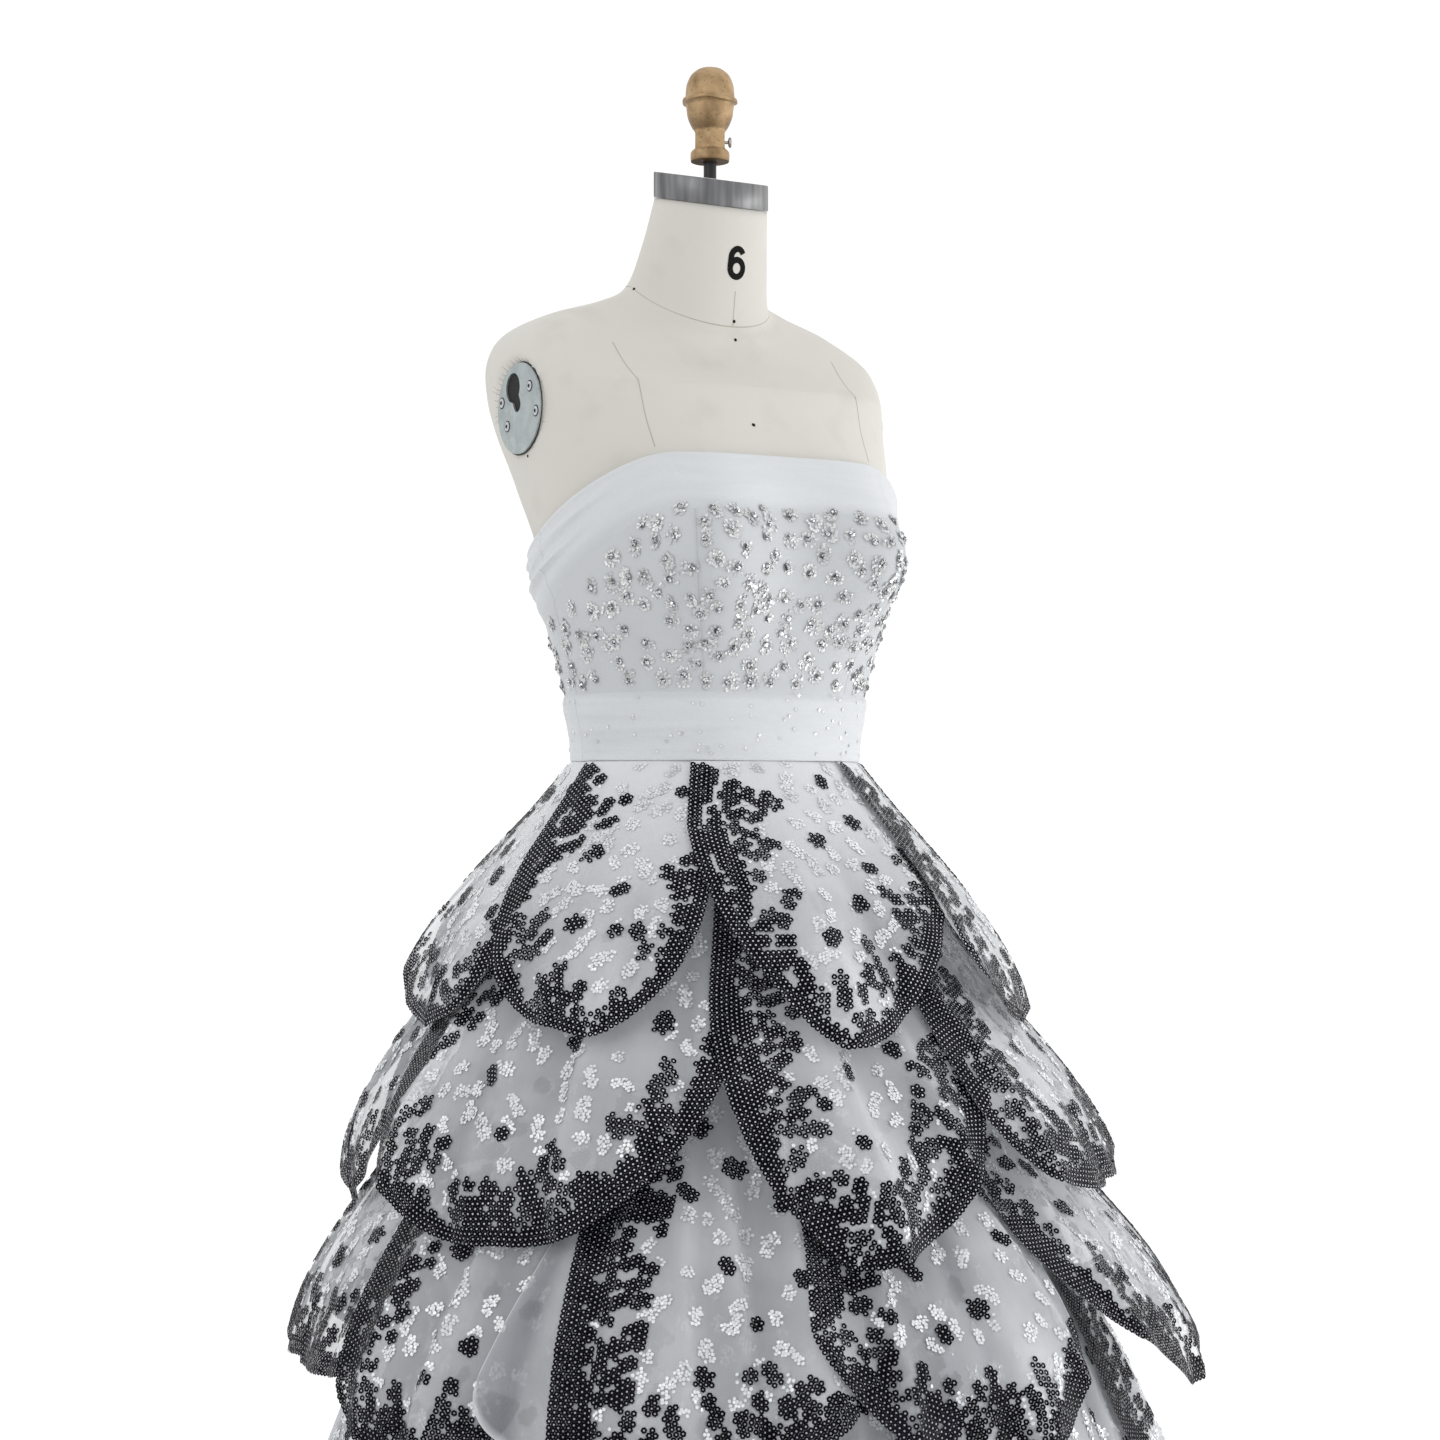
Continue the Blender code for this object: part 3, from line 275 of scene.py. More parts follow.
def canvasFinish():
    # plain linen: threads both ways round the form, with slubs and a little soiling
    look = {
        "light": (0.77, 0.745, 0.685), "shade": (0.70, 0.675, 0.615), "worn": (0.52, 0.48, 0.42),
        "threads": 620.0,
    }
    cloth = Finish("canvas", Roughness=0.85, Sheen_Weight=0.15, Sheen_Roughness=0.5)
    flat = cloth.attribute("cut", "Vector")
    threads = {"Vector": flat, "Scale": look["threads"], "Distortion": 1.2, "Detail": 1.0}
    warp, weft = (cloth.node("ShaderNodeTexWave", {"bands_direction": way}, threads, "Fac") for way in "XY")
    slubs = cloth.noise(90.0, 3.0, vector=cloth.stretched((1.0, 9.0, 1.0), flat))
    cloudy = cloth.noise(6.0, 4.0)
    weave = warp * 0.4 + weft * 0.4 + slubs * 0.4
    base = cloth.mix(cloudy, look["light"], look["shade"])
    cloth.colour(cloth.mix(cloth.spots(23.0, 4.0, 0.55, 0.85) * 0.35, base, look["worn"]))
    cloth.bump(weave, 0.3, 0.0004)
    return cloth.material


def brushedFinish():
    # rolled sheet, with upright brushing lines in its roughness and bump; its light and dark upright streaks
    # and clouds of colour are painted reflections
    look = {"light": (0.38, 0.38, 0.385), "dark": (0.12, 0.12, 0.123)}
    metal = Finish("brushed_steel", Metallic=1.0, Roughness=0.3)
    lines = metal.noise(210.0, 3.0, 0.6, metal.stretched((1.0, 1.0, 0.05)))
    cloudy = metal.spots(42.0, 3.0, 0.36, 0.64, 0.6, metal.stretched((1.0, 1.0, 0.1)))
    # painted reflections: light and dark upright streaks and clouds
    marks = (cloudy * 0.8 + lines * 0.7 - 0.25).clamped()
    metal.colour(metal.mix(marks, look["light"], look["dark"]))
    metal.rough(0.34 + lines * 0.25)
    metal.bump(lines, 0.35, 0.0004)
    return metal.material


def galvanisedFinish():
    look = {"dark": (0.40, 0.445, 0.44), "light": (0.54, 0.58, 0.575), "stain": (0.30, 0.345, 0.35)}
    metal = Finish("galvanised", Metallic=0.8, Roughness=0.45)
    spangle = metal.cells(130.0, "F1", "Color")
    grey = metal.node("ShaderNodeSeparateColor", None, {0: spangle}, 0)
    stain = metal.spots(60.0, 4.0, 0.42, 0.66)
    specks = metal.spots(620.0, 3.0, 0.58, 0.72)
    base = metal.mix(grey, look["dark"], look["light"])
    metal.colour(metal.mix(stain * 0.35 + specks * 0.40, base, look["stain"]))
    metal.rough(0.36 + grey * 0.2)
    metal.bump(metal.noise(240.0, 3.0), 0.15, 0.0003)
    return metal.material


def goldFinish():
    # rough gold paint over a casting, pitted; painted shade darkens it under its ridge and its bulb and at
    # its foot
    look = {
        "light": (0.53, 0.36, 0.19), "dark": (0.32, 0.205, 0.10), "specks": (0.16, 0.095, 0.04),
        "paintedShade": (0.13, 0.075, 0.030),
    }
    paint = Finish("gold_paint", Metallic=0.55, Roughness=0.42)
    pits = paint.noise(330.0, 4.0, 0.65)
    base = paint.mix(paint.spots(85.0, 3.0, 0.40, 0.68), look["light"], look["dark"])
    worn = paint.mix(paint.spots(420.0, 3.0, 0.60, 0.70) * 0.6, base, look["specks"])
    paint.colour(paint.mix(paint.attribute("under") * 0.62, worn, look["paintedShade"]))
    paint.rough(0.34 + pits * 0.25)
    paint.bump(pits * 0.7 + paint.noise(120.0, 2.0) * 0.3, 0.5, 0.0008)
    return paint.material


def blackSteelFinish():
    look = {"paint": (0.022, 0.022, 0.024), "worn": (0.07, 0.07, 0.075)}
    metal = Finish("black_steel", Metallic=0.3, Roughness=0.42, Coat_Weight=0.2)
    metal.colour(metal.mix(metal.spots(45.0, 4.0, 0.60, 0.80) * 0.4, look["paint"], look["worn"]))
    metal.rough(0.36 + metal.noise(150.0, 2.0) * 0.16)
    metal.bump(metal.noise(700.0, 2.0), 0.12, 0.0003)
    return metal.material


def platedFinish():
    metal = Finish("plated_metal", Metallic=1.0, Roughness=0.25)
    metal.colour(metal.mix(metal.noise(400.0, 2.0), (0.66, 0.66, 0.67), (0.50, 0.50, 0.52)))
    metal.rough(0.2 + metal.noise(900.0, 2.0) * 0.15)
    metal.bump(metal.noise(1500.0, 2.0), 0.1, 0.0001)
    return metal.material


# plain finishes: a noise's scale and detail, two colours, and a bump's noise, strength and distance
plainLooks = {
    "lining": {"cloudy": (9.0, 3.0), "colours": ((0.76, 0.77, 0.79), (0.64, 0.655, 0.675)),
               "bump": (900.0, 2.0, 0.2, 0.0004), "shader": {"Roughness": 0.7, "Sheen_Weight": 0.2}},
    "zip_nylon": {"cloudy": (300.0, 2.0), "colours": ((0.86, 0.87, 0.88), (0.76, 0.77, 0.79)),
                  "bump": (1800.0, 1.0, 0.2, 0.0002), "shader": {"Roughness": 0.4}},
    "painted_shadow": {"cloudy": (200.0, 2.0), "colours": ((0.012, 0.012, 0.012), (0.03, 0.029, 0.027)),
                    "bump": None, "shader": {"Roughness": 0.9}},
    "ink": {"cloudy": (700.0, 3.0), "colours": ((0.004, 0.004, 0.005), (0.022, 0.021, 0.020)),
            "bump": None, "shader": {"Roughness": 0.8, "Specular_IOR_Level": 0.08}},
    "seam_thread_and_shadow": {"cloudy": (900.0, 2.0), "colours": ((0.55, 0.52, 0.47), (0.44, 0.41, 0.37)),
                    "bump": (1500.0, 1.0, 0.3, 0.0002), "shader": {"Roughness": 0.85}},
    "floor": {"cloudy": (0.8, 2.0), "colours": ((0.86, 0.865, 0.87), (0.83, 0.835, 0.845)),
              "bump": None, "shader": {"Roughness": 0.75}},
}


def plainFinish(name):
    look = plainLooks[name]
    plain = Finish(name, **look["shader"])
    plain.colour(plain.mix(plain.noise(*look["cloudy"]), *look["colours"]))
    if look["bump"]:
        scale, detail, strength, distance = look["bump"]
        plain.bump(plain.noise(scale, detail), strength, distance)
    return plain.material


organza = organzaFinish()
blackSequin = blackSequinFinish()
silverSequin, motifSequin = (silverSequinFinish(name) for name in silverLooks)
crystal = crystalFinish()
bodiceCloth = bodiceFinish()
tulle = tulleFinish()
canvas = canvasFinish()
brushed = brushedFinish()
galvanised = galvanisedFinish()
gold = goldFinish()
blackSteel = blackSteelFinish()
plated = platedFinish()
lining, nylon, dark, ink, seamThreadAndShadow, ground = (plainFinish(name) for name in plainLooks)
print("finishes made")


# Meshes


def meshPiece(name, points, faces, material, smooth=True, values=None, cut=None):
    # faces is an array of triangles or quads; values are numbers for each point
    mesh = bpy.data.meshes.new(name)
    points = np.asarray(points, dtype=np.float32).reshape(-1, 3)
    faces = np.asarray(faces, dtype=np.int32)
    mesh.vertices.add(len(points))
    mesh.vertices.foreach_set("co", points.ravel())
    mesh.loops.add(faces.size)
    mesh.loops.foreach_set("vertex_index", faces.ravel())
    mesh.polygons.add(len(faces))
    mesh.polygons.foreach_set("loop_start", np.arange(0, faces.size, faces.shape[1], dtype=np.int32))
    mesh.update(calc_edges=True)
    for key, numbers in (values or {}).items():
        layer = mesh.attributes.new(key, "FLOAT", "POINT")
        layer.data.foreach_set("value", np.asarray(numbers, dtype=np.float32).ravel())
    if cut is not None:
        layer = mesh.attributes.new("cut", "FLOAT_VECTOR", "POINT")
        layer.data.foreach_set("vector", np.asarray(cut, dtype=np.float32).ravel())
    if smooth:
        mesh.shade_smooth()
    mesh.materials.append(material)
    item = bpy.data.objects.new(name, mesh)
    scene.collection.objects.link(item)
    return item


def gridFaces(rows, columns, start=0):
    lower = np.arange(columns - 1)[None, :] + np.arange(rows - 1)[:, None] * columns + start
    return np.stack([lower, lower + 1, lower + 1 + columns, lower + columns], axis=-1).reshape(-1, 4)


def wallFaces(rows, columns):
    # a closed wall: the outer grid, the inner grid turned over, and a rim between them
    count = rows * columns
    index = np.arange(count).reshape(rows, columns)
    loop = np.concatenate([index[0, :-1], index[:-1, -1], index[-1, :0:-1], index[:0:-1, 0]])
    after = np.roll(loop, -1)
    rim = np.stack([after, loop, loop + count, after + count], axis=-1)
    return np.concatenate([gridFaces(rows, columns), gridFaces(rows, columns, count)[:, ::-1], rim])


def wallPiece(name, outer, inner, material, cut, edge=None):
    points = np.concatenate([outer.reshape(-1, 3), inner.reshape(-1, 3)])
    flat = np.concatenate([cut.reshape(-1, 3)] * 2)
    edge = np.zeros(outer.shape[:2]) if edge is None else edge
    values = {"edge": np.concatenate([edge.ravel()] * 2)}
    item = meshPiece(name, points, wallFaces(*outer.shape[:2]), material, values=values, cut=flat)
    item.data.set_sharp_from_angle(angle=math.radians(50.0))
    return item


def settle(item, slotName, *nodes, body=mainBody):
    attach(item, body)
    if nodes:
        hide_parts(*nodes)


def direction(azimuth):
    angle = np.radians(azimuth)
    return np.stack([np.sin(angle), -np.cos(angle), np.zeros_like(angle)], axis=-1)


def unit(vectors):
    return vectors / np.linalg.norm(vectors, axis=-1, keepdims=True)


def bell(value, middle, spread):
    return np.exp(-(((value - middle) / spread) ** 2))


def turnBetween(a, b):
    return (a - b + 180.0) % 360.0 - 180.0


def oval(azimuth, halfWidth, halfDepth, power=2.0):
    angle = np.radians(azimuth)
    across = (np.abs(np.sin(angle)) / halfWidth) ** power
    along = (np.abs(np.cos(angle)) / halfDepth) ** power
    return (across + along) ** (-1.0 / power)


def smoothRows(table, place):
    # a smooth curve through the rows of a table, read at fractional row numbers
    place = np.clip(place, 0, len(table) - 1)
    low = np.minimum(place.astype(int), len(table) - 2)
    share = (place - low)[..., None]
    slope = np.gradient(table, axis=0)
    rise = table[low] * (2 * share**3 - 3 * share**2 + 1) + table[low + 1] * (3 * share**2 - 2 * share**3)
    return rise + slope[low] * (share**3 - 2 * share**2 + share) + slope[low + 1] * (share**3 - share**2)


# The form: height, half width, depth to the front, depth to the back, centre in Y, squareness front and back

formSections = np.array((
    (-0.230, 0.168, 0.103, 0.122, 0.000, 2.0, 2.0), (-0.180, 0.172, 0.108, 0.130, 0.000, 2.0, 2.0),
    (-0.130, 0.163, 0.106, 0.124, 0.000, 2.0, 2.0), (-0.090, 0.150, 0.103, 0.114, 0.000, 2.0, 2.0),
    (-0.045, 0.132, 0.098, 0.102, 0.000, 2.0, 2.0), (0.000, 0.118, 0.095, 0.095, 0.000, 2.0, 2.0),
    (0.040, 0.123, 0.098, 0.098, 0.000, 2.0, 2.0), (0.080, 0.133, 0.103, 0.105, 0.000, 2.0, 2.0),
    (0.115, 0.1435, 0.110, 0.112, 0.000, 2.0, 2.0), (0.150, 0.1505, 0.117, 0.116, 0.000, 2.0, 2.0),
    (0.180, 0.153, 0.119, 0.119, 0.002, 2.0, 2.1), (0.210, 0.1565, 0.116, 0.121, 0.008, 2.0, 2.4),
    (0.240, 0.160, 0.111, 0.120, 0.015, 2.1, 2.8), (0.270, 0.163, 0.104, 0.114, 0.026, 2.3, 3.4),
    (0.300, 0.165, 0.099, 0.108, 0.034, 2.5, 4.0), (0.325, 0.166, 0.084, 0.102, 0.036, 2.5, 4.0),
    (0.345, 0.157, 0.068, 0.089, 0.035, 2.4, 3.5), (0.362, 0.125, 0.058, 0.071, 0.033, 2.2, 2.8),
    (0.375, 0.084, 0.054, 0.058, 0.031, 2.0, 2.2), (0.388, 0.062, 0.052, 0.049, 0.030, 2.0, 2.0),
    (0.420, 0.053, 0.048, 0.046, 0.019, 2.0, 2.0), (0.458, 0.047, 0.044, 0.044, 0.008, 2.0, 2.0),
))
tiltRows = np.array((
    (0.300, 0.00, 0.00),
    (0.345, 0.35, 0.08),
    (0.388, 0.66, 0.20),
    (0.420, 0.45, 0.22),
    (0.458, 0.242, 0.242),
))
bustShape = {"azimuth": 32.0, "spread": 18.5, "height": 0.160, "rise": 0.060, "depth": 0.035}
finePlaces = np.linspace(0.0, len(formSections) - 1.0, 800)
fineHeights = smoothRows(formSections, finePlaces)[:, 0]


def bust(azimuth, height):
    rise = bell(height, bustShape["height"], bustShape["rise"])
    left, right = (turnBetween(azimuth, side * bustShape["azimuth"]) for side in (1, -1))
    both = bell(left, 0.0, bustShape["spread"]) + bell(right, 0.0, bustShape["spread"])
    return bustShape["depth"] * rise * both


def formAtRow(azimuth, place, offset):
    row = smoothRows(formSections, place)
    height, halfWidth, front, back, centre, frontPower, backPower = np.moveaxis(row, -1, 0)
    facing = np.cos(np.radians(azimuth)) > 0.0
    depth = np.where(facing, front, back)
    power = np.where(facing, frontPower, backPower)
    radius = oval(azimuth, halfWidth, depth, power) + np.where(facing, bust(azimuth, height), 0.0) + offset
    point = direction(azimuth) * radius[..., None]
    tilt = np.where(
        point[..., 1] < 0.0,
        np.interp(height, tiltRows[:, 0], tiltRows[:, 1]),
        np.interp(height, tiltRows[:, 0], tiltRows[:, 2]),
    )
    height = waist + height + tilt * point[..., 1]
    return np.stack([point[..., 0], point[..., 1] + centre, height], axis=-1)


def formPoint(azimuth, height, offset):
    azimuth, height, offset = np.broadcast_arrays(np.asarray(azimuth, float), height, offset)
    return formAtRow(azimuth, np.interp(height, fineHeights, finePlaces), offset)


def clothCut(points):
    # distances along the rows and the columns of a grid, as the cloth's own flat coordinates
    across = np.linalg.norm(np.diff(points, axis=1), axis=-1)
    along = np.linalg.norm(np.diff(points, axis=0), axis=-1)
    x = np.concatenate([np.zeros((len(points), 1)), np.cumsum(across, axis=1)], axis=1)
    x -= x[:, x.shape[1] // 2][:, None]
    y = np.concatenate([np.zeros((1, points.shape[1])), np.cumsum(along, axis=0)])
    return np.stack([x, y, np.zeros_like(x)], axis=-1)


armPlate = {
    "x": 0.1620, "y": 0.0345, "height": 0.2825, "radius": 0.0366, "thick": 0.0016, "gap": 0.0013,
    "lipWidth": 0.0045, "lipRise": 0.0060, "pressed": 0.0070,
}


def buildTorso():
    columns = 168
    places = np.linspace(0.0, len(formSections) - 1.0, 140)
    azimuths = np.arange(columns + 1) * 360.0 / columns
    grid = formAtRow(*np.broadcast_arrays(azimuths[None, :], places[:, None]), 0.0)
    for side in (-1.0, 1.0):
        # the armhole is pressed flat under the plate, with a soft lip round it
        away = np.hypot(grid[..., 1] - armPlate["y"], grid[..., 2] - waist - armPlate["height"])
        lip = np.clip((away - armPlate["radius"] - armPlate["gap"]) / armPlate["lipWidth"], 0.0, 1.0)
        limit = armPlate["x"] - 0.0012 + lip * armPlate["lipRise"]
        pressed = (grid[..., 0] * side > limit) & (away < armPlate["radius"] + armPlate["pressed"])
        grid[..., 0] = np.where(pressed, limit * side, grid[..., 0])
    cut = clothCut(grid)
    rows = len(places)
    faces = gridFaces(rows, columns + 1)
    triangles = [faces[:, [0, 1, 2]], faces[:, [0, 2, 3]]]
    points = grid.reshape(-1, 3)
    for row in (0, rows - 1):
        hub = len(points)
        points = np.concatenate([points, grid[row, :-1].mean(axis=0)[None]])
        ring = row * (columns + 1) + np.arange(columns)
        pair = (ring + 1, ring) if row == 0 else (ring, ring + 1)
        triangles.append(np.stack([*pair, np.full(columns, hub)], axis=-1))
    cut = np.concatenate([cut.reshape(-1, 3), np.zeros((2, 3))])
    torso = meshPiece("form_canvas", points, np.concatenate(triangles), canvas, cut=cut)
    weld(torso)
    settle(torso, "canvas", "form_torso")
    vertices = [vertex.co for vertex in torso.data.vertices]
    return BVHTree.FromPolygons(vertices, [face.vertices for face in torso.data.polygons])


def weld(item):
    shape = bmesh.new()
    shape.from_mesh(item.data)
    bmesh.ops.remove_doubles(shape, verts=shape.verts, dist=0.00002)
    shape.to_mesh(item.data)
    shape.free()


def ribbon(name, path, width, material, lift):
    # a narrow strip along a path on a surface: path is points and outward directions
    points, outward = path
    side = unit(np.cross(unit(np.gradient(points, axis=0)), outward))
    shape = ((-0.5, 0.0), (-0.3, 1.0), (0.3, 1.0), (0.5, 0.0))
    rows = [points + side * width * across + outward * lift * up for across, up in shape]
    grid = np.stack(rows, axis=1)
    return meshPiece(name, grid, gridFaces(*grid.shape[:2]), material)


def formPath(azimuths, heights, offset):
    points = formPoint(azimuths, heights, offset)
    step = 0.3
    across = formPoint(azimuths + step, heights, offset) - formPoint(azimuths - step, heights, offset)
    along = formPoint(azimuths, heights + 0.001, offset) - formPoint(azimuths, heights - 0.001, offset)
    return points, unit(np.cross(across, along))


# Seams of the canvas: from azimuth and height to azimuth and height

canvasSeams = {
    "neck_front": ((-92.0, 0.388), (92.0, 0.388)),
    "neck_back": ((92.0, 0.388), (268.0, 0.388)),
    "neck_centre": ((3.0, 0.388), (3.0, 0.408)),
    "princess_right": ((-47.75, 0.2445), (-65.5, 0.3535)),
    "princess_left": ((47.75, 0.2445), (65.5, 0.3535)),
    "back_princess_right": ((-146.0, 0.170), (-128.0, 0.366)),
    "back_princess_left": ((146.0, 0.170), (128.0, 0.366)),
    "centre_back": ((180.0, 0.168), (180.0, 0.455)),
}


def straightPath(start, end):
    # azimuths that make the line straight as seen from in front or from behind
    count = 60
    heights = np.linspace(start[1], end[1], count)
    azimuths = np.linspace(start[0], end[0], count)
    if abs(end[0] - start[0]) > 60.0 or start[1] == end[1]:
        return azimuths, heights
    ends = formPoint(np.array([start[0], end[0]]), np.array([start[1], end[1]]), 0.0)
    for _ in range(6):
        points = formPoint(azimuths, heights, 0.0)
        share = (points[:, 2] - ends[0, 2]) / (ends[1, 2] - ends[0, 2])
        wanted = ends[0, 0] + (ends[1, 0] - ends[0, 0]) * share
        centre = smoothRows(formSections, np.interp(heights, fineHeights, finePlaces))[:, 4]
        azimuths = np.degrees(np.arctan2(wanted, centre - points[:, 1])) % 360.0
        azimuths = np.where(azimuths > 180.0, azimuths - 360.0, azimuths)
    return azimuths, heights


def buildCanvasSeams():
    for name, (start, end) in canvasSeams.items():
        strip = ribbon(f"seam_{name}", formPath(*straightPath(start, end), 0.0), 0.0009, seamThreadAndShadow, 0.0002)
        settle(strip, "canvas")


def disc(centre, outward, radius, sides, dome):
    outward = unit(outward)
    first = unit(np.cross(outward, (0.0, 0.0, 1.0)))
    second = np.cross(outward, first)
    angles = np.arange(sides) * 2.0 * np.pi / sides
    ring = centre + radius * (np.cos(angles)[:, None] * first + np.sin(angles)[:, None] * second)
    points = np.concatenate([ring, [centre + outward * dome]])
    around = np.arange(sides)
    return points, np.stack([around, (around + 1) % sides, np.full(sides, sides)], axis=-1)


def joined(parts):
    points = []
    faces = []
    count = 0
    for some, more in parts:
        points.append(some)
        faces.append(more + count)
        count += len(some)
    return np.concatenate(points), np.concatenate(faces)


def buildPins():
    # pin heads and needle holes left in the canvas: azimuth, height, radius
    spots = (
        (4.0, 0.391, 0.0014), (4.75, 0.373, 0.0013), (-87.0, 0.388, 0.0013), (-7.25, 0.2665, 0.0016),
        (-93.0, 0.2435, 0.0012),
    )
    parts = []
    for azimuth, height, radius in spots:
        points, outward = formPath(np.array([azimuth]), np.array([height]), 0.0)
        parts.append(disc(points[0] + outward[0] * 0.0003, outward[0], radius, 14, 0.0004))
    pins = meshPiece("canvas_pins", *joined(parts), ink)
    settle(pins, "canvas")


# small tucks of the canvas round an arm plate: degrees from its back towards its top, and length
tucks = (
    (26, 0.013), (21, 0.015), (13, 0.009), (6, 0.006), (-4, 0.011), (-9, 0.014), (-17, 0.006),
    (-28, 0.0045), (33, 0.006), (40, 0.0075), (47, 0.005), (55, 0.007), (63, 0.005), (72, 0.006),
    (80, 0.0045), (88, 0.0055), (97, 0.004), (108, 0.005), (123, 0.0035), (150, 0.0035), (200, 0.004),
    (236, 0.004), (280, 0.0045), (315, 0.004),
)


def tuck(side, angle, length, shift, width, lift):
    # a radial strip from the plate's rim outwards, laid on the canvas and sunk into it at its far end
    look = {"steps": 10, "start": 0.0002, "farLift": 0.15, "sunk": 0.0001}
    turn = math.radians(angle)
    steps = np.linspace(armPlate["radius"] + look["start"], armPlate["radius"] + length, look["steps"])
    rays = []
    for reach in steps:
        across = armPlate["y"] + reach * math.cos(turn) - shift * math.sin(turn)
        up = waist + armPlate["height"] + reach * math.sin(turn) + shift * math.cos(turn)
        rays.append(torsoTree.ray_cast(Vector((side * 0.4, across, up)), Vector((-side, 0.0, 0.0)))[:2])
    points, outward = (np.array([list(ray[place]) for ray in rays]) for place in (0, 1))
    along = np.gradient(points, axis=0)
    over = np.cross(along, outward)
    over *= (width / np.linalg.norm(over, axis=1))[:, None]
    high = outward * (lift * np.linspace(1.0, look["farLift"], look["steps"])[:, None])
    sunk = outward * look["sunk"]
    grid = np.stack([points - over / 2 - sunk, points + high, points + over / 2 - sunk], axis=1)
    return grid.reshape(-1, 3), gridFaces(look["steps"], 3)


def wrapPlate(side, name):
    # canvas wrapped over the block that carries the plate: rows by depth behind the face and reach
    ring = np.linspace(0.0, 2.0 * np.pi, 73)
    rows = []
    for depth, reach in ((0.0150, 0.0002), (0.0016, 0.0002), (0.0010, -0.0010)):
        size = armPlate["radius"] + reach
        row = [np.full(73, side * (armPlate["x"] - depth)), size * np.cos(ring), size * np.sin(ring)]
        rows.append(np.stack(row, axis=-1) + np.array([0.0, armPlate["y"], waist + armPlate["height"]]))
    block = np.stack(rows)
    wrap = meshPiece(f"arm_wrap_{name}", block, gridFaces(3, 73), canvas, cut=clothCut(block))
    weld(wrap)
    settle(wrap, "canvas")


def buildArmPlates():
    screws = ((-0.0191, 0.0158), (0.0293, 0.0074), (-0.0296, -0.0051), (0.0198, -0.0125))
    # each screw: name, slot, finish, radius, sides, dome, and how far out it lies
    parts = (
        # the dark seats are painted shadows round the heads, and the dark slots are painted shade inside
        # them
        ("plate_screw_shadows", "zinc", dark, 0.0047, 24, 0.0002, 0.0),
        ("plate_screws", "white_metal", plated, 0.0038, 24, 0.0010, 0.0003),
        ("plate_screw_slots", "white_metal", dark, 0.0016, 12, 0.0006, 0.0010),
    )
    # the folds strips are dark lines beside the ridges: painted shadow, in the colour of the seam thread
    strips = (("ridges", 0.0016, 0.0009, 0.0, canvas), ("folds", 0.0010, 0.0003, 0.0012, seamThreadAndShadow))
    for side, name in ((-1.0, "right"), (1.0, "left")):
        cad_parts[f"arm_plate_{name}"].data.materials[0] = galvanised
        out = np.array([side, 0.0, 0.0])
        middle = np.array([side * (armPlate["x"] - 0.0003), armPlate["y"], waist + armPlate["height"]])
        # painted shadow: a dark disc behind the plate shows in the gap round it
        gapShadow = disc(middle, out, armPlate["radius"] + 0.0009, 72, 0.00005)
        settle(meshPiece(f"arm_gap_shadow_{name}", *gapShadow, dark, smooth=False), "zinc")
        wrapPlate(side, name)
        face = armPlate["x"] + armPlate["thick"] + 0.0001
        places = [
            np.array([side * face, armPlate["y"] + across, waist + armPlate["height"] + up])
            for across, up in screws
        ]
        for part, slotName, material, radius, sides, dome, lift in parts:
            rounds = [disc(place + out * lift, out, radius, sides, dome) for place in places]
            settle(meshPiece(f"{part}_{name}", *joined(rounds), material), slotName)
        for part, width, lift, shift, material in strips:
            rows = [tuck(side, angle, length, shift, width, lift) for angle, length in tucks]
            settle(meshPiece(f"arm_tuck_{part}_{name}", *joined(rows), material), "canvas")


def numeralOutline():
    # a plain number: a bowl and a tail, as two strokes with round bends
    bowl = [(0.31 * math.cos(a), -0.20 + 0.30 * math.sin(a)) for a in np.linspace(math.pi, -math.pi, 40)]
    tail = [(-0.31 + 0.01 * t, -0.20 + 0.30 * t) for t in (0.0, 0.35, 0.7)]
    hook = [(0.01 + 0.31 * math.cos(a), 0.14 + 0.36 * math.sin(a)) for a in np.linspace(2.9, 0.55, 18)]
    return bowl, tail + hook


def buildNumeral():
    # the neck's tilt makes heights on it a third taller than they are
    size = {"height": 0.0168, "width": 0.0205, "stroke": 0.0050, "azimuth": 2.25, "level": 0.4247}
    for name, stroke in zip(("bowl", "hook"), numeralOutline()):
        flat = np.array(stroke)
        azimuths = size["azimuth"] + np.degrees(flat[:, 0] * size["width"] / 0.050)
        heights = size["level"] + flat[:, 1] * size["height"]
        strip = ribbon(f"numeral_{name}", formPath(azimuths, heights, 0.0002), size["stroke"], ink, 0.0002)
        settle(strip, "canvas")


knobSections = np.array((
    (0.4930, 0.0146, 0.0), (0.4942, 0.0159, 0.0), (0.5005, 0.0159, 0.0), (0.5030, 0.0132, 0.5),
    (0.5036, 0.0122, 1.0), (0.5165, 0.0121, 1.0), (0.5185, 0.0128, 0.3), (0.5235, 0.0160, 0.0),
    (0.5305, 0.0186, 0.0), (0.5400, 0.0200, 0.0), (0.5418, 0.0226, 0.0), (0.5440, 0.0224, 0.0),
    (0.5460, 0.0204, 0.0), (0.5560, 0.0193, 0.0), (0.5640, 0.0158, 0.0), (0.5693, 0.0090, 0.0),
    (0.5710, 0.0002, 0.0),
))
# where the ridge wanders and where painted shade lies: height and spread
knobShape = {
    "centre": 0.0096, "bore": 0.0059, "sharp": 0.35, "wander": (0.5428, 0.0028), "ridge": (0.5405, 0.0011),
    "bulb": (0.5215, 0.0075), "bulbFrom": 0.5185, "foot": (0.4930, 0.0016),
}


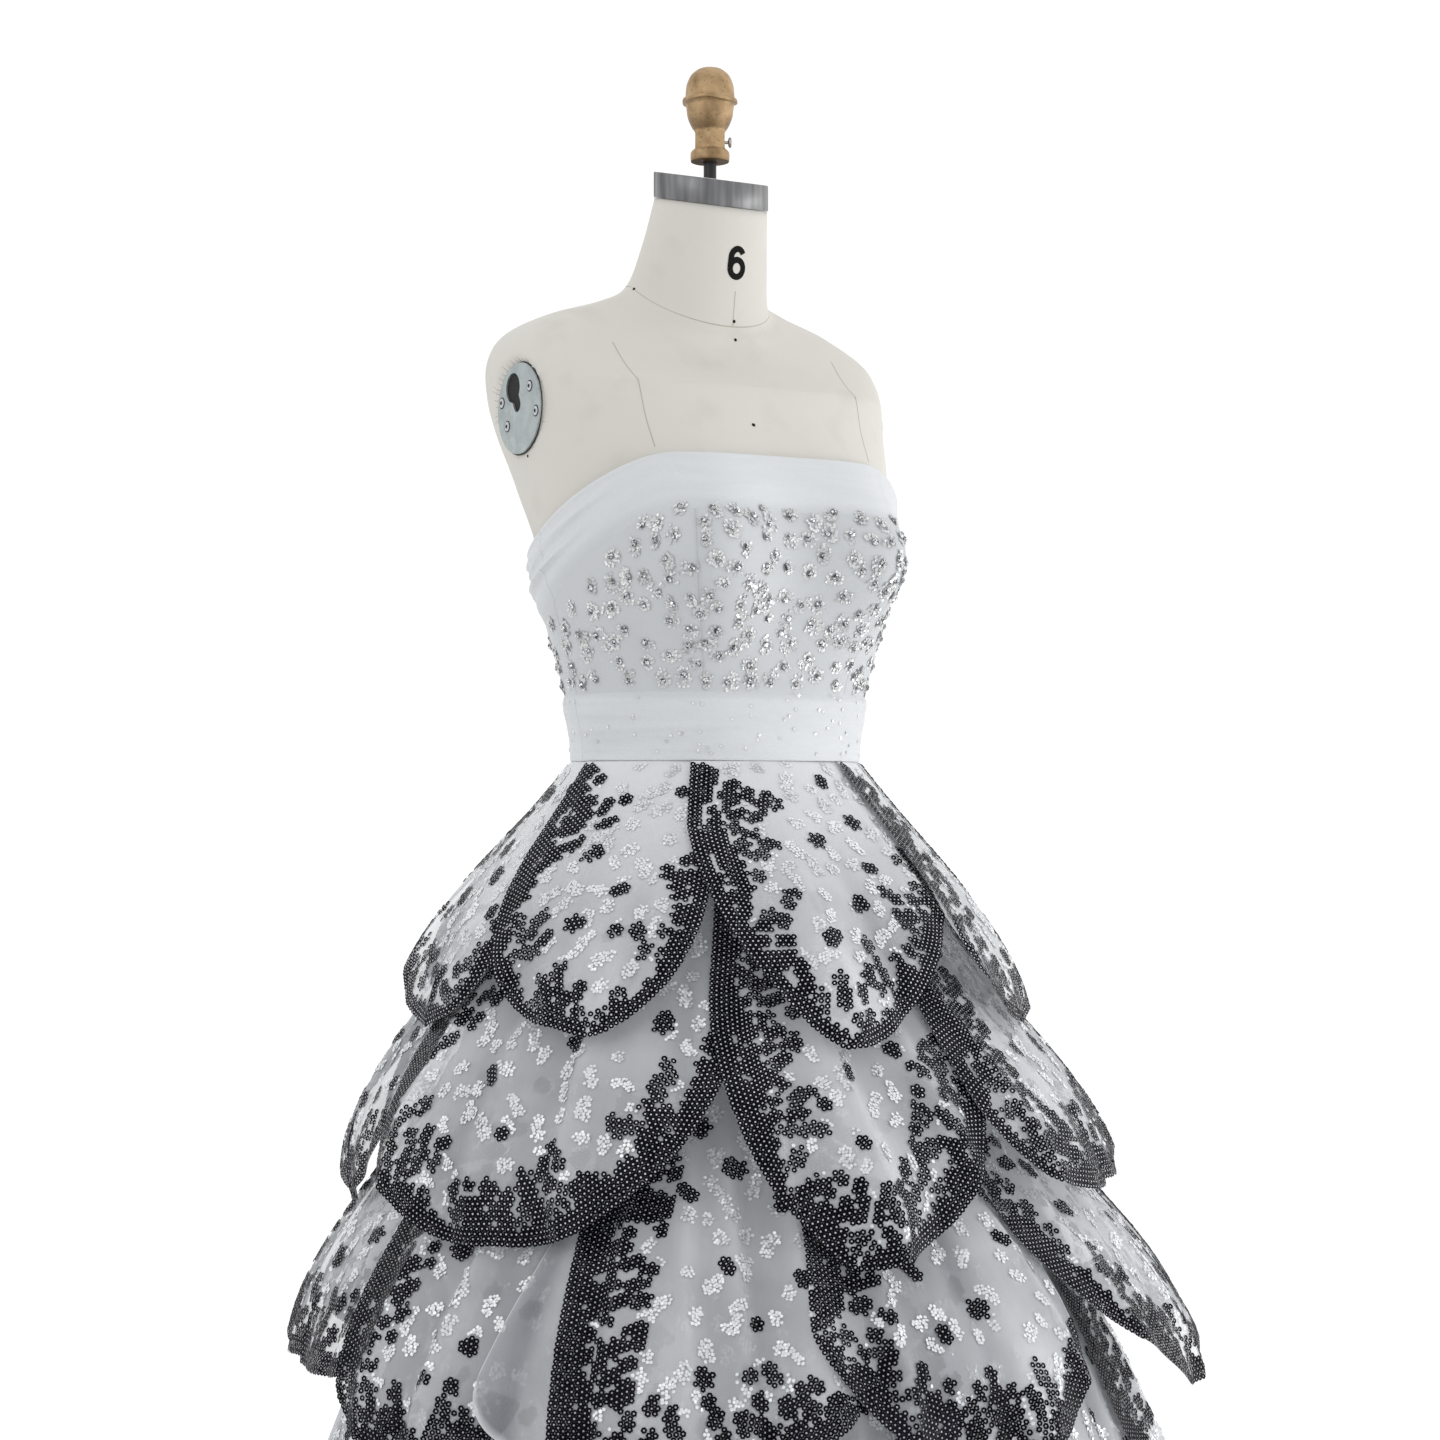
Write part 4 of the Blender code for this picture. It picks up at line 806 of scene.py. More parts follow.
def buildCap():
    # its upright wall, bevel and flat top: height above the form and size, in the neck's tilted plane
    rows = (
        (0.0003, 0.990), (0.0006, 1.0), (0.0204, 1.0), (0.0209, 0.996), (0.0213, 0.983), (0.0213, 0.0001),
    )
    azimuths = np.linspace(0.0, 360.0, 145)
    rings = []
    for up, size in rows:
        ring = direction(azimuths) * oval(azimuths, 0.0478, 0.0448)[:, None] * size
        ring[:, 2] = waist + 0.458 + up + 0.242 * ring[:, 1]
        ring[:, 1] += 0.008
        rings.append(ring)
    cap = meshPiece("neck_cap_spun", np.stack(rings), gridFaces(len(rows), 145), brushed)
    weld(cap)
    settle(cap, "steel", "neck_cap")


screwAzimuth = 59.0


def buildKnob():
    columns = 72
    shape = knobShape
    table = np.concatenate([[(knobSections[0, 0], shape["bore"], 0.0)], knobSections])
    place = np.linspace(0.0, len(table) - 1.0, 120)
    sharp = np.interp(place, np.arange(len(table)), table[:, 1])
    height, radius, hexagon = np.moveaxis(smoothRows(table, place), -1, 0)
    radius = (1.0 - shape["sharp"]) * radius + shape["sharp"] * sharp
    radius[0] = shape["bore"]
    angles = np.arange(columns + 1) * 360.0 / columns
    side = (angles % 60.0) - 30.0
    flat = 1.0 / np.cos(np.radians(side))
    reach = radius[:, None] * (1.0 + (flat - 1.0)[None, :] * np.clip(hexagon, 0.0, 1.0)[:, None])
    spin = direction(angles + screwAzimuth + 30.0)[None]
    grid = spin * reach[..., None] + np.array([0.0, shape["centre"], waist])
    # the casting's ridge isn't level, and painted shade lies under the ridge, under the bulb and at the foot
    spinAngle = np.radians(angles)[None, :]
    wander = 0.0008 * np.sin(2.0 * spinAngle + 0.8) + 0.0005 * np.sin(5.0 * spinAngle)
    grid[..., 2] += height[:, None] + wander * bell(height[:, None], *shape["wander"])
    ridge, bulb, foot = (bell(height, *shape[part]) for part in ("ridge", "bulb", "foot"))
    bulb = bulb * (height > shape["bulbFrom"])
    under = np.clip(0.75 * ridge + bulb + foot, 0.0, 1.0)[:, None] * np.ones(grid.shape[:2])
    knob = meshPiece("knob_turned", grid, gridFaces(*grid.shape[:2]), gold, values={"under": under})
    weld(knob)
    settle(knob, "gold_paint", "knob")


print("building the form")
torsoTree = buildTorso()
buildCanvasSeams()
buildPins()
buildArmPlates()
buildNumeral()
buildCap()
buildKnob()

for nodeName, material in (
    ("knob_rod", blackSteel), ("stand_post", blackSteel), ("stand_base", blackSteel),
    ("thumbscrew", plated), ("zip_slider", plated), ("zip_pull_tab", plated), ("zip_chain", nylon),
):
    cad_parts[nodeName].data.materials[0] = material


# Bodice, neckline band, sash and zip

bodiceWall = {
    "inner": 0.0015, "outer": 0.0033, "princess": 36.0, "side": 90.0, "zip": 178.8, "gap": 0.012,
    "roll": 0.00038, "meanRadius": 0.165, "length": 0.245,
}
necklineShape = {
    "front": 0.240, "back": 0.168, "from": 40.0, "to": 112.0, "bandFront": 0.047, "bandBack": 0.060,
}
sashDepth = 0.055


def neckline(azimuth):
    around = np.abs(turnBetween(azimuth, 0.0))
    start, end = necklineShape["from"], necklineShape["to"]
    share = np.clip((around - start) / (end - start), 0.0, 1.0)
    fall = necklineShape["back"] - necklineShape["front"]
    return necklineShape["front"] + fall * share * share * (3.0 - 2.0 * share)


def bodiceCreases(azimuth, height):
    # soft drag lines from the bust and the waist to the side seams
    drag = np.sin(height * 190.0 + azimuth * 0.10) * bell(np.abs(azimuth), 84.0, 16.0)
    waistPull = np.sin(np.radians(azimuth * 9.0)) * np.exp(-height / 0.03)
    return 0.00035 * drag + 0.00025 * waistPull


def buildBodice():
    panels = {
        "bodice_centre_front": (-bodiceWall["princess"], bodiceWall["princess"]),
        "bodice_side_front_left": (bodiceWall["princess"], bodiceWall["side"]),
        "bodice_side_front_right": (-bodiceWall["side"], -bodiceWall["princess"]),
        "bodice_back_left": (bodiceWall["side"], bodiceWall["zip"] + bodiceWall["gap"]),
        "bodice_back_right": (-bodiceWall["zip"] - bodiceWall["gap"], -bodiceWall["side"]),
    }
    for name, (start, end) in panels.items():
        even = np.linspace(-1.0, 1.0, 57)[None, :]
        spaced = 0.5 + 0.5 * (0.45 * np.sin(even * np.pi / 2) + 0.55 * even)
        azimuths = start + bodiceWall["gap"] + (end - start - 2 * bodiceWall["gap"]) * spaced
        share = np.linspace(0.0, 1.0, 46)[:, None]
        heights = share * neckline(azimuths)
        azimuths = np.broadcast_to(azimuths, heights.shape)
        # the seams are drawn in a little, and the cloth rolls over at every cut edge
        fromEdge = np.minimum(azimuths - azimuths[0, 0], azimuths[0, -1] - azimuths)
        roll = bodiceWall["roll"] * np.exp(-fromEdge / 0.6)
        outer = formPoint(azimuths, heights, bodiceWall["outer"] + bodiceCreases(azimuths, heights) - roll)
        inner = formPoint(azimuths, heights, bodiceWall["inner"])
        # the edge value paints shade along the seams
        edge = np.exp(-fromEdge / 0.5)
        panel = wallPiece(f"{name}_cloth", outer, inner, bodiceCloth, clothCut(outer), edge)
        settle(panel, "bodice_cloth", name)


# Creases of the draped strips: share of the depth, height, first and last azimuth, drift of the share

bandCreases = (
    (0.05, 0.0014, -180.0, -50.0, 0.00), (0.20, 0.0018, -180.0, -64.0, 0.20),
    (0.36, 0.0022, -180.0, -58.0, -0.16), (0.50, 0.0018, -180.0, -72.0, 0.22),
    (0.62, 0.0021, -180.0, -66.0, -0.12), (0.44, 0.0016, -180.0, -80.0, 0.34),
    (0.28, 0.0013, -180.0, -84.0, -0.26), (0.24, 0.0004, -30.0, 52.0, 0.08),
    (0.50, 0.0004, -40.0, 110.0, -0.10), (0.05, 0.0012, 48.0, 180.0, 0.00),
    (0.22, 0.0012, 64.0, 180.0, 0.16), (0.38, 0.0015, 58.0, 180.0, -0.16),
    (0.56, 0.0012, 72.0, 180.0, 0.12),
)
sashCreases = (
    (0.30, 0.0005, -180.0, -34.0, 0.24), (0.52, 0.0006, -110.0, 40.0, -0.16),
    (0.40, 0.0004, -20.0, 120.0, 0.22), (0.68, 0.0005, -40.0, 180.0, -0.18),
    (0.60, 0.0006, 60.0, 180.0, 0.20), (0.84, 0.0004, -180.0, 90.0, 0.05),
)


def creaseHeight(creases, azimuth, share):
    # each crease is the edge of a folded layer: a slow rise and a quick fall
    look = {"fade": 16.0, "rise": 0.075, "fall": 0.035}
    total = np.zeros(np.broadcast(azimuth, share).shape)
    for middle, height, first, last, drift in creases:
        along = np.clip((azimuth - first) / max(last - first, 1.0), 0.0, 1.0)
        fade = np.clip(np.minimum(azimuth - first, last - azimuth) / look["fade"], 0.0, 1.0)
        fade = np.where((first <= -180.0) & (azimuth < last - look["fade"]), 1.0, fade)
        fade = np.where((last >= 180.0) & (azimuth > first + look["fade"]), 1.0, fade)
        away = share - (middle + drift * (along - 0.5))
        rise = np.where(away < 0.0, bell(away, 0.0, look["rise"]), bell(away, 0.0, look["fall"]))
        total = total + height * rise * fade
    return total


def buildTrim(prefix, top, depth, creases, material, softness, lapHeight=0.0):
    # softness says from which share of the depth, up or down, the strip thins out to a raw edge
    wall = {"inner": 0.0049, "thick": 0.0016, "side": 90.0, "back": 177.0, "gap": 0.07, "raw": 0.0029}
    pieces = {
        "front": (-wall["side"] + wall["gap"], wall["side"] - wall["gap"], 145),
        "back_left": (wall["side"] + wall["gap"], wall["back"], 71),
        "back_right": (-wall["back"], -wall["side"] - wall["gap"], 71),
    }
    for side, (start, end, count) in pieces.items():
        azimuths = np.linspace(start, end, count)[None, :]
        even = np.linspace(0.0, np.pi, 52)
        share = (0.25 * (1.0 + np.cos(even)) + 0.5 * (1.0 - even / np.pi))[:, None]
        heights = top(azimuths) - depth(azimuths) * share
        azimuths, share = np.broadcast_arrays(azimuths, share)
        # the cloth turns in along its fold, and its raw edge lies soft on the bodice
        roundOff = np.sqrt(np.clip(1.0 - np.abs(2.0 * share - 1.0) ** 16, 0.0, 1.0))
        raw = (share - softness) / (1.0 - softness) if softness > 0 else 1.0 + share / softness
        raw = np.clip(raw, 0.0, 1.0)
        raw = raw * raw * (3.0 - 2.0 * raw)
        # the front layer passes under the side ones along a slanting lap
        lap = np.clip((np.abs(azimuths) - 47.0 + 14.0 * share**0.8) / 1.0, 0.0, 1.0) * lapHeight
        floor = wall["inner"] + (wall["raw"] - wall["inner"]) * raw
        reach = floor + wall["thick"] * (0.35 + 0.65 * roundOff) * (1.0 - 0.8 * raw)
        relief = (creaseHeight(creases, azimuths, share) + lap) * roundOff * (1.0 - raw)
        outer = formPoint(azimuths, heights, reach + relief)
        inner = formPoint(azimuths, heights, floor)
        cut = clothCut(outer)
        strip = wallPiece(f"{prefix}_{side}_cloth", outer, inner, material, cut, raw)
        settle(strip, "tulle", f"{prefix}_{side}")


def bandDepth(azimuth):
    share = (necklineShape["front"] - neckline(azimuth)) / (necklineShape["front"] - necklineShape["back"])
    return necklineShape["bandFront"] + (necklineShape["bandBack"] - necklineShape["bandFront"]) * share


def sashHeight(azimuth):
    return np.full(np.shape(azimuth), sashDepth)


def buildZip():
    # the coil's teeth in two rows that mesh at the centre back
    teeth = {
        "from": 0.002, "to": 0.163, "pitch": 0.0016, "width": 0.0022, "half": 0.00045, "high": 0.0006,
        "lift": 0.00005,
    }
    heights = np.arange(teeth["from"], teeth["to"], teeth["pitch"])
    parts = []
    corners = np.array([(x, y, z) for x in (0, 1) for y in (0, 1) for z in (0, 1)], float)
    sides = np.array((
        (0, 1, 3), (0, 3, 2), (4, 6, 7), (4, 7, 5), (0, 4, 5), (0, 5, 1),
        (2, 3, 7), (2, 7, 6), (0, 2, 6), (0, 6, 4), (1, 5, 7), (1, 7, 3),
    ))
    for index, height in enumerate(heights):
        seat = formPoint(np.array([180.0]), height, bodiceWall["outer"])[0]
        shift = (-0.75 if index % 2 else -0.25) * teeth["width"]
        low = seat + np.array([shift, teeth["lift"], -teeth["half"]])
        size = np.array([teeth["width"], teeth["high"], 2 * teeth["half"]])
        parts.append((low + corners * size, sides))
    settle(meshPiece("zip_teeth", *joined(parts), nylon, smooth=False), "zip_nylon")


print("building the bodice")
buildBodice()
buildTrim("neckline_band", neckline, bandDepth, bandCreases, tulle, 0.72, 0.0008)
buildTrim("waist_sash", sashHeight, sashHeight, sashCreases, tulle, -0.16)
buildZip()


# The carrier skirt and the petals

carrierSections = np.array((
    (-0.6000, 0.3120, 0.3120),
    (-0.3800, 0.2580, 0.2580),
    (-0.2400, 0.2160, 0.2120),
    (-0.1000, 0.1720, 0.1550),
    (-0.0003, 0.1202, 0.0972),
))
swingRows = np.array(((-0.67, 0.030), (-0.45, 0.022), (-0.34, 0.012), (-0.20, 0.0), (0.0, 0.0)))
petalCloth = {
    "wall": 0.0013, "lap": 7.0, "shingleTop": 0.0017, "shingleHem": 0.0036, "growth": 1.6, "foldGain": 1.3,
    "hemUneven": 0.0015,
}

# one row for each tier: seam height, hem height, hem radius, first slope, belly, stand-off at the seam
tiers = {
    1: (-0.0003, -0.210, 0.2560, 1.15, 0.54, 0.0006),
    2: (-0.1000, -0.355, 0.3170, 0.80, 1.68, 0.0008),
    3: (-0.2400, -0.495, 0.3690, 0.80, 1.55, 0.0008),
    4: (-0.3800, -0.670, 0.3850, 1.00, 0.00, 0.0008),
}
# one row for each petal: left edge at its seam, left edge at the hem, lowest point, its height,
# height where the edge turns into the hem, roundness of the left and of the right half
petals = {
    1: (
        (-128, -124, -94, -0.207, -0.06, 1.8, 2.4), (-86, -79, -53, -0.203, -0.05, 2.3, 1.6),
        (-41, -33, -10.4, -0.215, -0.05, 1.25, 1.6), (34, 17, 42, -0.207, -0.12, 1.8, 1.7),
        (72, 64, 88, -0.205, -0.06, 1.6, 1.7), (108, 104, 126, -0.211, -0.06, 1.7, 1.6),
        (144, 142, 163, -0.205, -0.06, 1.5, 1.8), (180, 180, 208, -0.212, -0.055, 1.7, 1.6),
    ),
    2: (
        (-140, -138, -112, -0.352, -0.18, 1.7, 2), (-92, -93, -61.5, -0.357, -0.17, 2.6, 1.6),
        (-31, -35.5, -15.5, -0.364, -0.17, 1.4, 1.9), (14, 8, 33, -0.328, -0.23, 2.2, 2.2),
        (60, 57, 80, -0.353, -0.18, 1.6, 1.7), (105, 102, 124, -0.348, -0.18, 1.8, 1.6),
        (148, 146, 168, -0.358, -0.18, 1.6, 1.7), (186, 184, 205, -0.35, -0.18, 1.7, 1.8),
    ),
    3: (
        (-128, -127, -106, -0.47, -0.4, 1.8, 3), (-88, -85, -70, -0.51, -0.45, 2.2, 2),
        (-50, -67, -43, -0.514, -0.44, 2, 1.6), (-19, -25, -4, -0.505, -0.4, 1.4, 1.8),
        (9, 8, 36, -0.478, -0.31, 1.3, 2.2), (60, 58, 80, -0.494, -0.33, 1.6, 1.7),
        (103, 100, 122, -0.502, -0.33, 1.8, 1.6), (146, 144, 165, -0.489, -0.33, 1.6, 1.8),
        (188, 187, 208, -0.5, -0.33, 1.7, 1.7),
    ),
    4: (
        (-142, -140, -117, -0.668, -0.5, 1.7, 1.8), (-97, -96, -76, -0.672, -0.5, 1.8, 1.7),
        (-56, -55, -33, -0.664, -0.49, 1.6, 1.8), (-12, -11, 11, -0.67, -0.5, 1.8, 1.6),
        (33, 34, 55, -0.662, -0.49, 1.6, 1.8), (78, 78, 100, -0.67, -0.5, 1.7, 1.7),
        (123, 123, 146, -0.665, -0.5, 1.8, 1.6), (168, 170, 194, -0.67, -0.49, 1.6, 1.7),
    ),
}
# the folds of each tier: azimuth, half width in degrees, and how far it stands out at the hem
folds = {
    1: (
        (-121, 16, 0.01), (-99, 9, -0.004), (-84, 12, 0.006), (-52, 15, 0.007), (-31, 9, -0.005),
        (-7, 11, 0.01), (22, 11, 0.004), (46, 12, -0.003), (75, 13, 0.008), (97, 9, -0.004),
        (118, 12, 0.009), (150, 14, 0.006), (171, 10, -0.004), (196, 14, 0.009),
    ),
    2: (
        (-131, 11, -0.002), (-110, 13, -0.013), (-80, 13, 0.008), (-57, 7, -0.006), (-43, 8, 0.006),
        (-27, 7, -0.004), (-11, 9, 0.011), (9, 9, -0.004), (30, 12, 0.006), (52, 11, -0.004),
        (76, 12, 0.008), (104, 13, 0.009), (131, 9, -0.005), (152, 12, 0.01), (181, 11, 0.007),
        (208, 12, 0.006),
    ),
    3: (
        (-121, 11, -0.006), (-103, 8, -0.009), (-89, 8, 0.006), (-76, 7, 0.01), (-63, 7, -0.008),
        (-52, 6, 0.007), (-42, 6, 0.008), (-32, 6, -0.009), (-22, 7, 0.009), (-9, 8, -0.007),
        (4, 7, 0.011), (17, 8, -0.006), (31, 9, 0.007), (54, 11, 0.005), (74, 8, -0.006), (92, 9, 0.009),
        (109, 8, -0.006), (126, 10, 0.01), (146, 9, -0.007), (163, 9, 0.009), (181, 8, -0.006),
        (198, 10, 0.01), (219, 9, -0.006),
    ),
    4: (
        (-130, 9, 0.012), (-113, 8, -0.01), (-97, 8, 0.012), (-82, 7, -0.009), (-68, 8, 0.011),
        (-54, 7, -0.01), (-40, 8, 0.013), (-25, 8, -0.009), (-10, 8, 0.012), (5, 8, -0.01), (20, 8, 0.011),
        (36, 8, -0.009), (52, 9, 0.013), (69, 8, -0.01), (85, 8, 0.012), (101, 8, -0.009), (118, 9, 0.012),
        (135, 8, -0.01), (151, 8, 0.011), (167, 8, -0.009), (183, 8, 0.013), (199, 8, -0.01),
        (215, 8, 0.011),
    ),
}
# finer creases than the solids have: azimuth at the seam and at the hem, width in degrees, height,
# share of the drop where it starts, and a pleat's sharp side: left -1, right 1, or 0 for a soft ridge
creases = {
    1: (
        (-118, -112, 3, 0.003, 0.1, 0), (-96, -90, 5, 0.003, 0.2, 1), (-78, -72, 3.5, 0.0026, 0.1, 0),
        (-66, -61, 5, 0.0026, 0, -1), (-50, -44, 3, -0.0024, 0.1, 0), (-30, -25, 4.5, 0.003, 0, -1),
        (-13, -7.5, 6, 0.0044, 0.2, -1), (0, 4, 3.2, -0.0026, 0.1, 0), (22, 26, 5, 0.003, 0, 1),
        (48, 52, 3.4, 0.0026, 0.1, 0), (66, 70, 5, 0.003, 0.1, -1), (92, 96, 3.2, -0.0024, 0, 0),
        (112, 116, 5, 0.0032, 0.1, 1), (138, 141, 3.2, 0.0028, 0.1, 0), (160, 162, 5, 0.003, 0, -1),
        (183, 184, 3.2, -0.0026, 0.1, 0), (204, 208, 5, 0.0032, 0.1, 1), (222, 226, 3.2, 0.0026, 0.1, 0),
    ),
    2: (
        (-134, -130, 2.6, 0.0034, 0.1, 0), (-116, -112, 5, 0.0036, 0.1, 1),
        (-99, -97, 2.6, -0.003, 0.1, 0), (-84, -84, 4.5, 0.0036, 0, -1), (-66, -68, 2.8, 0.0034, 0, 0),
        (-52, -55, 5, 0.0042, 0, 1), (-37, -36, 2.4, -0.003, 0.1, 0), (-25, -22, 4, 0.004, 0, 1),
        (-15, -9.5, 5, 0.0062, 0.1, -1), (2, 6, 2.6, 0.0032, 0, 0), (17, 21, 4.5, 0.004, 0, 1),
        (34, 37, 2.6, -0.003, 0.1, 0), (50, 53, 5, 0.0038, 0, -1), (71, 73, 2.8, 0.0032, 0, 0),
        (88, 91, 5, 0.004, 0.1, 1), (108, 111, 2.8, -0.003, 0, 0), (126, 129, 5, 0.004, 0.1, -1),
        (146, 148, 2.8, 0.0034, 0, 0), (163, 165, 5, 0.0038, 0.1, 1), (184, 186, 2.8, -0.003, 0, 0),
        (201, 204, 5, 0.004, 0.1, -1),
    ),
    3: (
        (-118, -116, 2.4, 0.0036, 0, 0), (-104, -102, 4.5, 0.0042, 0, 1), (-90, -91, 2.4, -0.0034, 0, 0),
        (-78, -80, 4.5, 0.0044, 0, -1), (-64, -71, 3.6, 0.0052, 0, 1), (-54, -60, 2.2, -0.0036, 0, 0),
        (-46, -47, 3.6, 0.0046, 0, 1), (-37, -38, 2.2, 0.004, 0, 0), (-31, -31, 4.5, 0.0066, 0, -1),
        (-22, -21, 2.2, 0.0038, 0, 0), (-13, -12, 4, 0.0048, 0, 1), (-2, 0, 2.2, -0.0034, 0, 0),
        (9, 12, 4.5, 0.005, 0, -1), (22, 26, 2.4, 0.0038, 0, 0), (36, 40, 4.5, 0.0044, 0, 1),
        (52, 55, 2.6, -0.0034, 0, 0), (68, 70, 4.5, 0.0044, 0, -1), (84, 86, 2.6, 0.0036, 0, 0),
        (99, 101, 4.5, 0.0044, 0, 1), (115, 117, 2.6, -0.0034, 0, 0), (131, 133, 4.5, 0.0046, 0, -1),
        (147, 149, 2.6, 0.0036, 0, 0), (163, 165, 4.5, 0.0044, 0, 1), (179, 180, 2.6, -0.0034, 0, 0),
        (195, 197, 4.5, 0.0046, 0, -1), (212, 214, 2.6, 0.0036, 0, 0),
    ),
    4: (
        (-122, -121, 2.4, 0.004, 0, 0), (-106, -105, 4.5, 0.0046, 0, 1), (-90, -91, 2.4, -0.0036, 0, 0),
        (-75, -76, 4.5, 0.0048, 0, -1), (-60, -61, 2.4, 0.004, 0, 0), (-46, -46, 4.5, 0.0048, 0, 1),
        (-31, -31, 2.4, -0.0036, 0, 0), (-17, -16, 4.5, 0.0048, 0, -1), (-2, 0, 2.4, 0.004, 0, 0),
        (13, 14, 4.5, 0.0048, 0, 1), (28, 30, 2.4, -0.0036, 0, 0), (44, 46, 4.5, 0.0048, 0, -1),
        (61, 62, 2.4, 0.004, 0, 0), (77, 79, 4.5, 0.0048, 0, 1), (94, 96, 2.4, -0.0036, 0, 0),
        (110, 112, 4.5, 0.0048, 0, -1), (127, 129, 2.4, 0.004, 0, 0), (143, 145, 4.5, 0.0048, 0, 1),
        (160, 161, 2.4, -0.0036, 0, 0), (176, 178, 4.5, 0.0048, 0, -1), (192, 194, 2.4, 0.004, 0, 0),
        (207, 209, 4.5, 0.0048, 0, 1), (223, 225, 2.4, 0.0036, 0, 0),
    ),
}
foldScale = {1: 1.4, 2: 1.7, 3: 1.9, 4: 1.9}
creaseShape = {"steep": 0.36, "slow": 1.3, "soft": 1.4, "growsOver": 0.45, "ripple": 0.0008}


def carrierRadius(azimuth, height):
    halfWidth = np.interp(height, carrierSections[:, 0], carrierSections[:, 1])
    halfDepth = np.interp(height, carrierSections[:, 0], carrierSections[:, 2])
    return oval(azimuth, halfWidth, halfDepth)


def skirtPlace(azimuth, radius, height):
    azimuth, radius, height = np.broadcast_arrays(azimuth, radius, height)
    away = np.interp(height, swingRows[:, 0], swingRows[:, 1])
    swing = direction(np.array(screwAzimuth)) * away[..., None]
    point = swing + direction(azimuth) * radius[..., None]
    point[..., 2] += waist + height
    return point


def foldHeight(tier, azimuth):
    total = np.zeros(np.shape(azimuth))
    for middle, halfWidth, height in folds[tier]:
        away = np.minimum(np.abs(turnBetween(azimuth, middle)) / halfWidth, 1.0)
        total = total + height * (0.5 + 0.5 * np.cos(np.pi * away))
    return total


def fineFolds(tier, azimuth, share):
    total = np.zeros(np.broadcast(azimuth, share).shape)
    for top, hem, width, height, start, side in creases[tier]:
        away = turnBetween(azimuth, top + (hem - top) * share) / width
        if side:
            along = away * side
            gentle = np.exp(-along * creaseShape["slow"])
            profile = np.where(along < 0.0, bell(along, 0.0, creaseShape["steep"]), gentle)
        else:
            profile = np.exp(-creaseShape["soft"] * away**2)
        reach = np.clip((share - start) / creaseShape["growsOver"], 0.0, 1.0)
        total = total + height * profile * reach * reach * (3.0 - 2.0 * reach)
    ripple = np.sin(np.radians(azimuth * 17.0 + 40.0 * tier)) + 0.6 * np.sin(np.radians(azimuth * 29.0))
    return foldScale[tier] * total + creaseShape["ripple"] * ripple * np.clip(share, 0.0, 1.0) ** 2


def tierShare(tier, height):
    seam, hem = tiers[tier][:2]
    return (seam - height) / (seam - hem)


def foldRise(tier, azimuth, share):
    grown = np.clip(share, 0.0, 1.0) ** petalCloth["growth"]
    return petalCloth["foldGain"] * foldHeight(tier, azimuth) * grown + fineFolds(tier, azimuth, share)


def tierRadius(tier, azimuth, height, plain=False):
    seam, _, hemRadius, slope, belly, stand = tiers[tier]
    share = np.minimum(tierShare(tier, height), 1.0)
    start = carrierRadius(azimuth, seam) + stand + petalCloth["shingleTop"] + petalCloth["wall"] / 2
    spread = slope * share + belly * share**2 + (1.0 - slope - belly) * share**3
    radius = start + (hemRadius - start) * spread
    if plain:
        return radius
    return radius + foldRise(tier, azimuth, share)


# where a petal's dark side band runs down a fold of the cloth and not down its edge: the azimuth
foldedBands = {(3, 2): -53.0}


def readTable(table, row, column):
    # a table read between its rows and its columns
    row = np.clip(row, 0.0, table.shape[0] - 1.001)
    column = np.clip(column, 0.0, table.shape[1] - 1.001)
    i, j = row.astype(int), column.astype(int)
    low = table[i, j] + (table[i, j + 1] - table[i, j]) * (column - j)
    high = table[i + 1, j] + (table[i + 1, j + 1] - table[i + 1, j]) * (column - j)
    return low + (high - low) * (row - i)


# the grid on which a petal is laid flat: step in degrees, and how far it goes on below the petal
flatGrid = {"rows": 90, "columns": 601, "step": 0.25, "below": 0.012}


